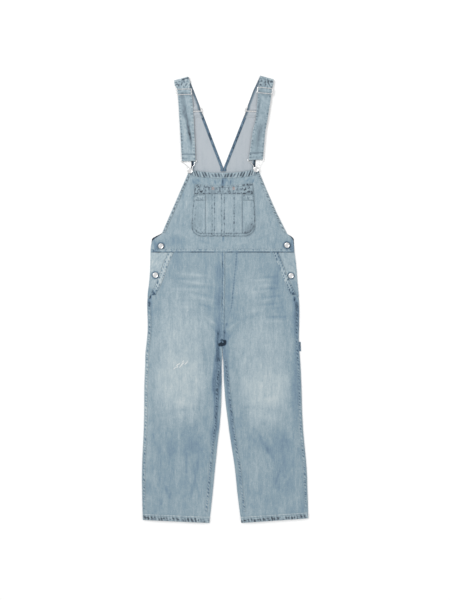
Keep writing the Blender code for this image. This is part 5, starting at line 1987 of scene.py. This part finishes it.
def make_side(side, slides, buttons, pocket):
    """One side of the garment, each sheet with its cut in metres and what is sewn to it."""
    back_leg = make_back_leg(side)
    declare(back_leg, (0.29, 0.94), 0.245, [], [sew_back(side)])
    leg = make_front_leg(side)
    trims = [make_leg_hem(side), *make_leg_seams(side), make_pocket_edge(side), sew_leg(side)]
    trims += [make_centre_seam(), sew_abraded()] if side == "left" else [make_side_tab()]
    declare(leg, (0.275, 0.935), 0.23, [back_leg], trims)
    facing = make_hip(side)
    declare(facing, (0.065, 0.155), 0.0062, [back_leg], [sew_hip(side), buttons["lower_" + side]])
    panel = make_back_panel(side)
    declare(panel, (0.25, 0.46), 0.062, [], [make_neck_hem(side), sew_back_panel(side)])
    strap = make_strap(side)
    spot = next(spot for spot in BIB_BUTTONS if spot.name == side)
    strap_trims = [slides["front", side], slides["back", side], make_buckle(side, spot), sew_strap(side)]
    declare(strap, (0.05, 0.45), None, [panel], strap_trims)
    pencil, pencil_hem = make_pencil_pocket(side)
    declare(pencil, (0.055, 0.14), 0.0062, [pocket], [pencil_hem, sew_pencil(side)])
    return panel


def make_garment():
    learn_bead()
    slides = make_slides()
    buttons = make_buttons()
    pocket = make_bib_pocket()
    panels = [make_side(side, slides, buttons, pocket) for side in SIDES]
    bib = make_bib()
    declare(pocket, (0.225, 0.20), 0.040, [bib], [make_bib_pocket_hem(), sew_pocket(), sew_pocket_tacks()])
    trims = [make_bib_top_hem(), *map(make_bib_side_hem, SIDES), make_waist_seam(), sew_bib(), sew_middle()]
    trims += [buttons[name] for name in ("upper_left", "upper_right", "left", "right")]
    declare(bib, (0.49, 0.29), 0.100, panels, trims)


# In metres: the photo's middle beside the garment's, and a floor just clear of the cloth
CAMERA_SHIFT = (-0.0006, -0.0019)
FLOOR_HIGH = -0.0002


def make_camera():
    """Straight above, with the photo's 1.95 m of floor from top to bottom."""
    data = bpy.data.cameras.new("camera")
    height, span = 4.0, 1.95
    data.sensor_width = 36
    data.lens = data.sensor_width * height / span
    data.clip_end = 50
    camera = placed("camera", data)
    camera.location = (*CAMERA_SHIFT, height)
    bpy.context.scene.camera = camera


def make_floor():
    deselect()
    bpy.ops.mesh.primitive_plane_add(size=14, location=(0, 0, FLOOR_HIGH))
    ground = bpy.context.object
    ground.name = "floor"
    bpy.ops.object.transform_apply(location=True, rotation=False, scale=False)
    ground.data.materials.append(floor_look())
    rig.stage(ground)


def make_light(name, place, size, power):
    data = bpy.data.lights.new(name, "AREA")
    data.size = size
    data.energy = power
    light = placed(name, data)
    light.location = place
    light.rotation_euler = (-Vector(place)).to_track_quat("-Z", "Y").to_euler()


def make_studio():
    """Soft light from high on the upper left, and an even pale surround."""
    make_light("window", (-2.2, 2.0, 2.4), 1.8, 70)
    make_light("fill", (2.0, -1.6, 3.0), 2.5, 30)
    world = bpy.data.worlds.new("surround")
    world.use_nodes = True
    background = world.node_tree.nodes["Background"]
    background.inputs["Color"].default_value = (1, 1, 1, 1)
    background.inputs["Strength"].default_value = 0.75
    bpy.context.scene.world = world
    bpy.context.scene.view_settings.view_transform = "Standard"


make_camera()
make_floor()
make_studio()
make_garment()
with open("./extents.json", "w") as file:
    sizes = {"cad": CAD_BOX, "visual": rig.bounds()}
    json.dump({name: [list(corner) for corner in box] for name, box in sizes.items()}, file)
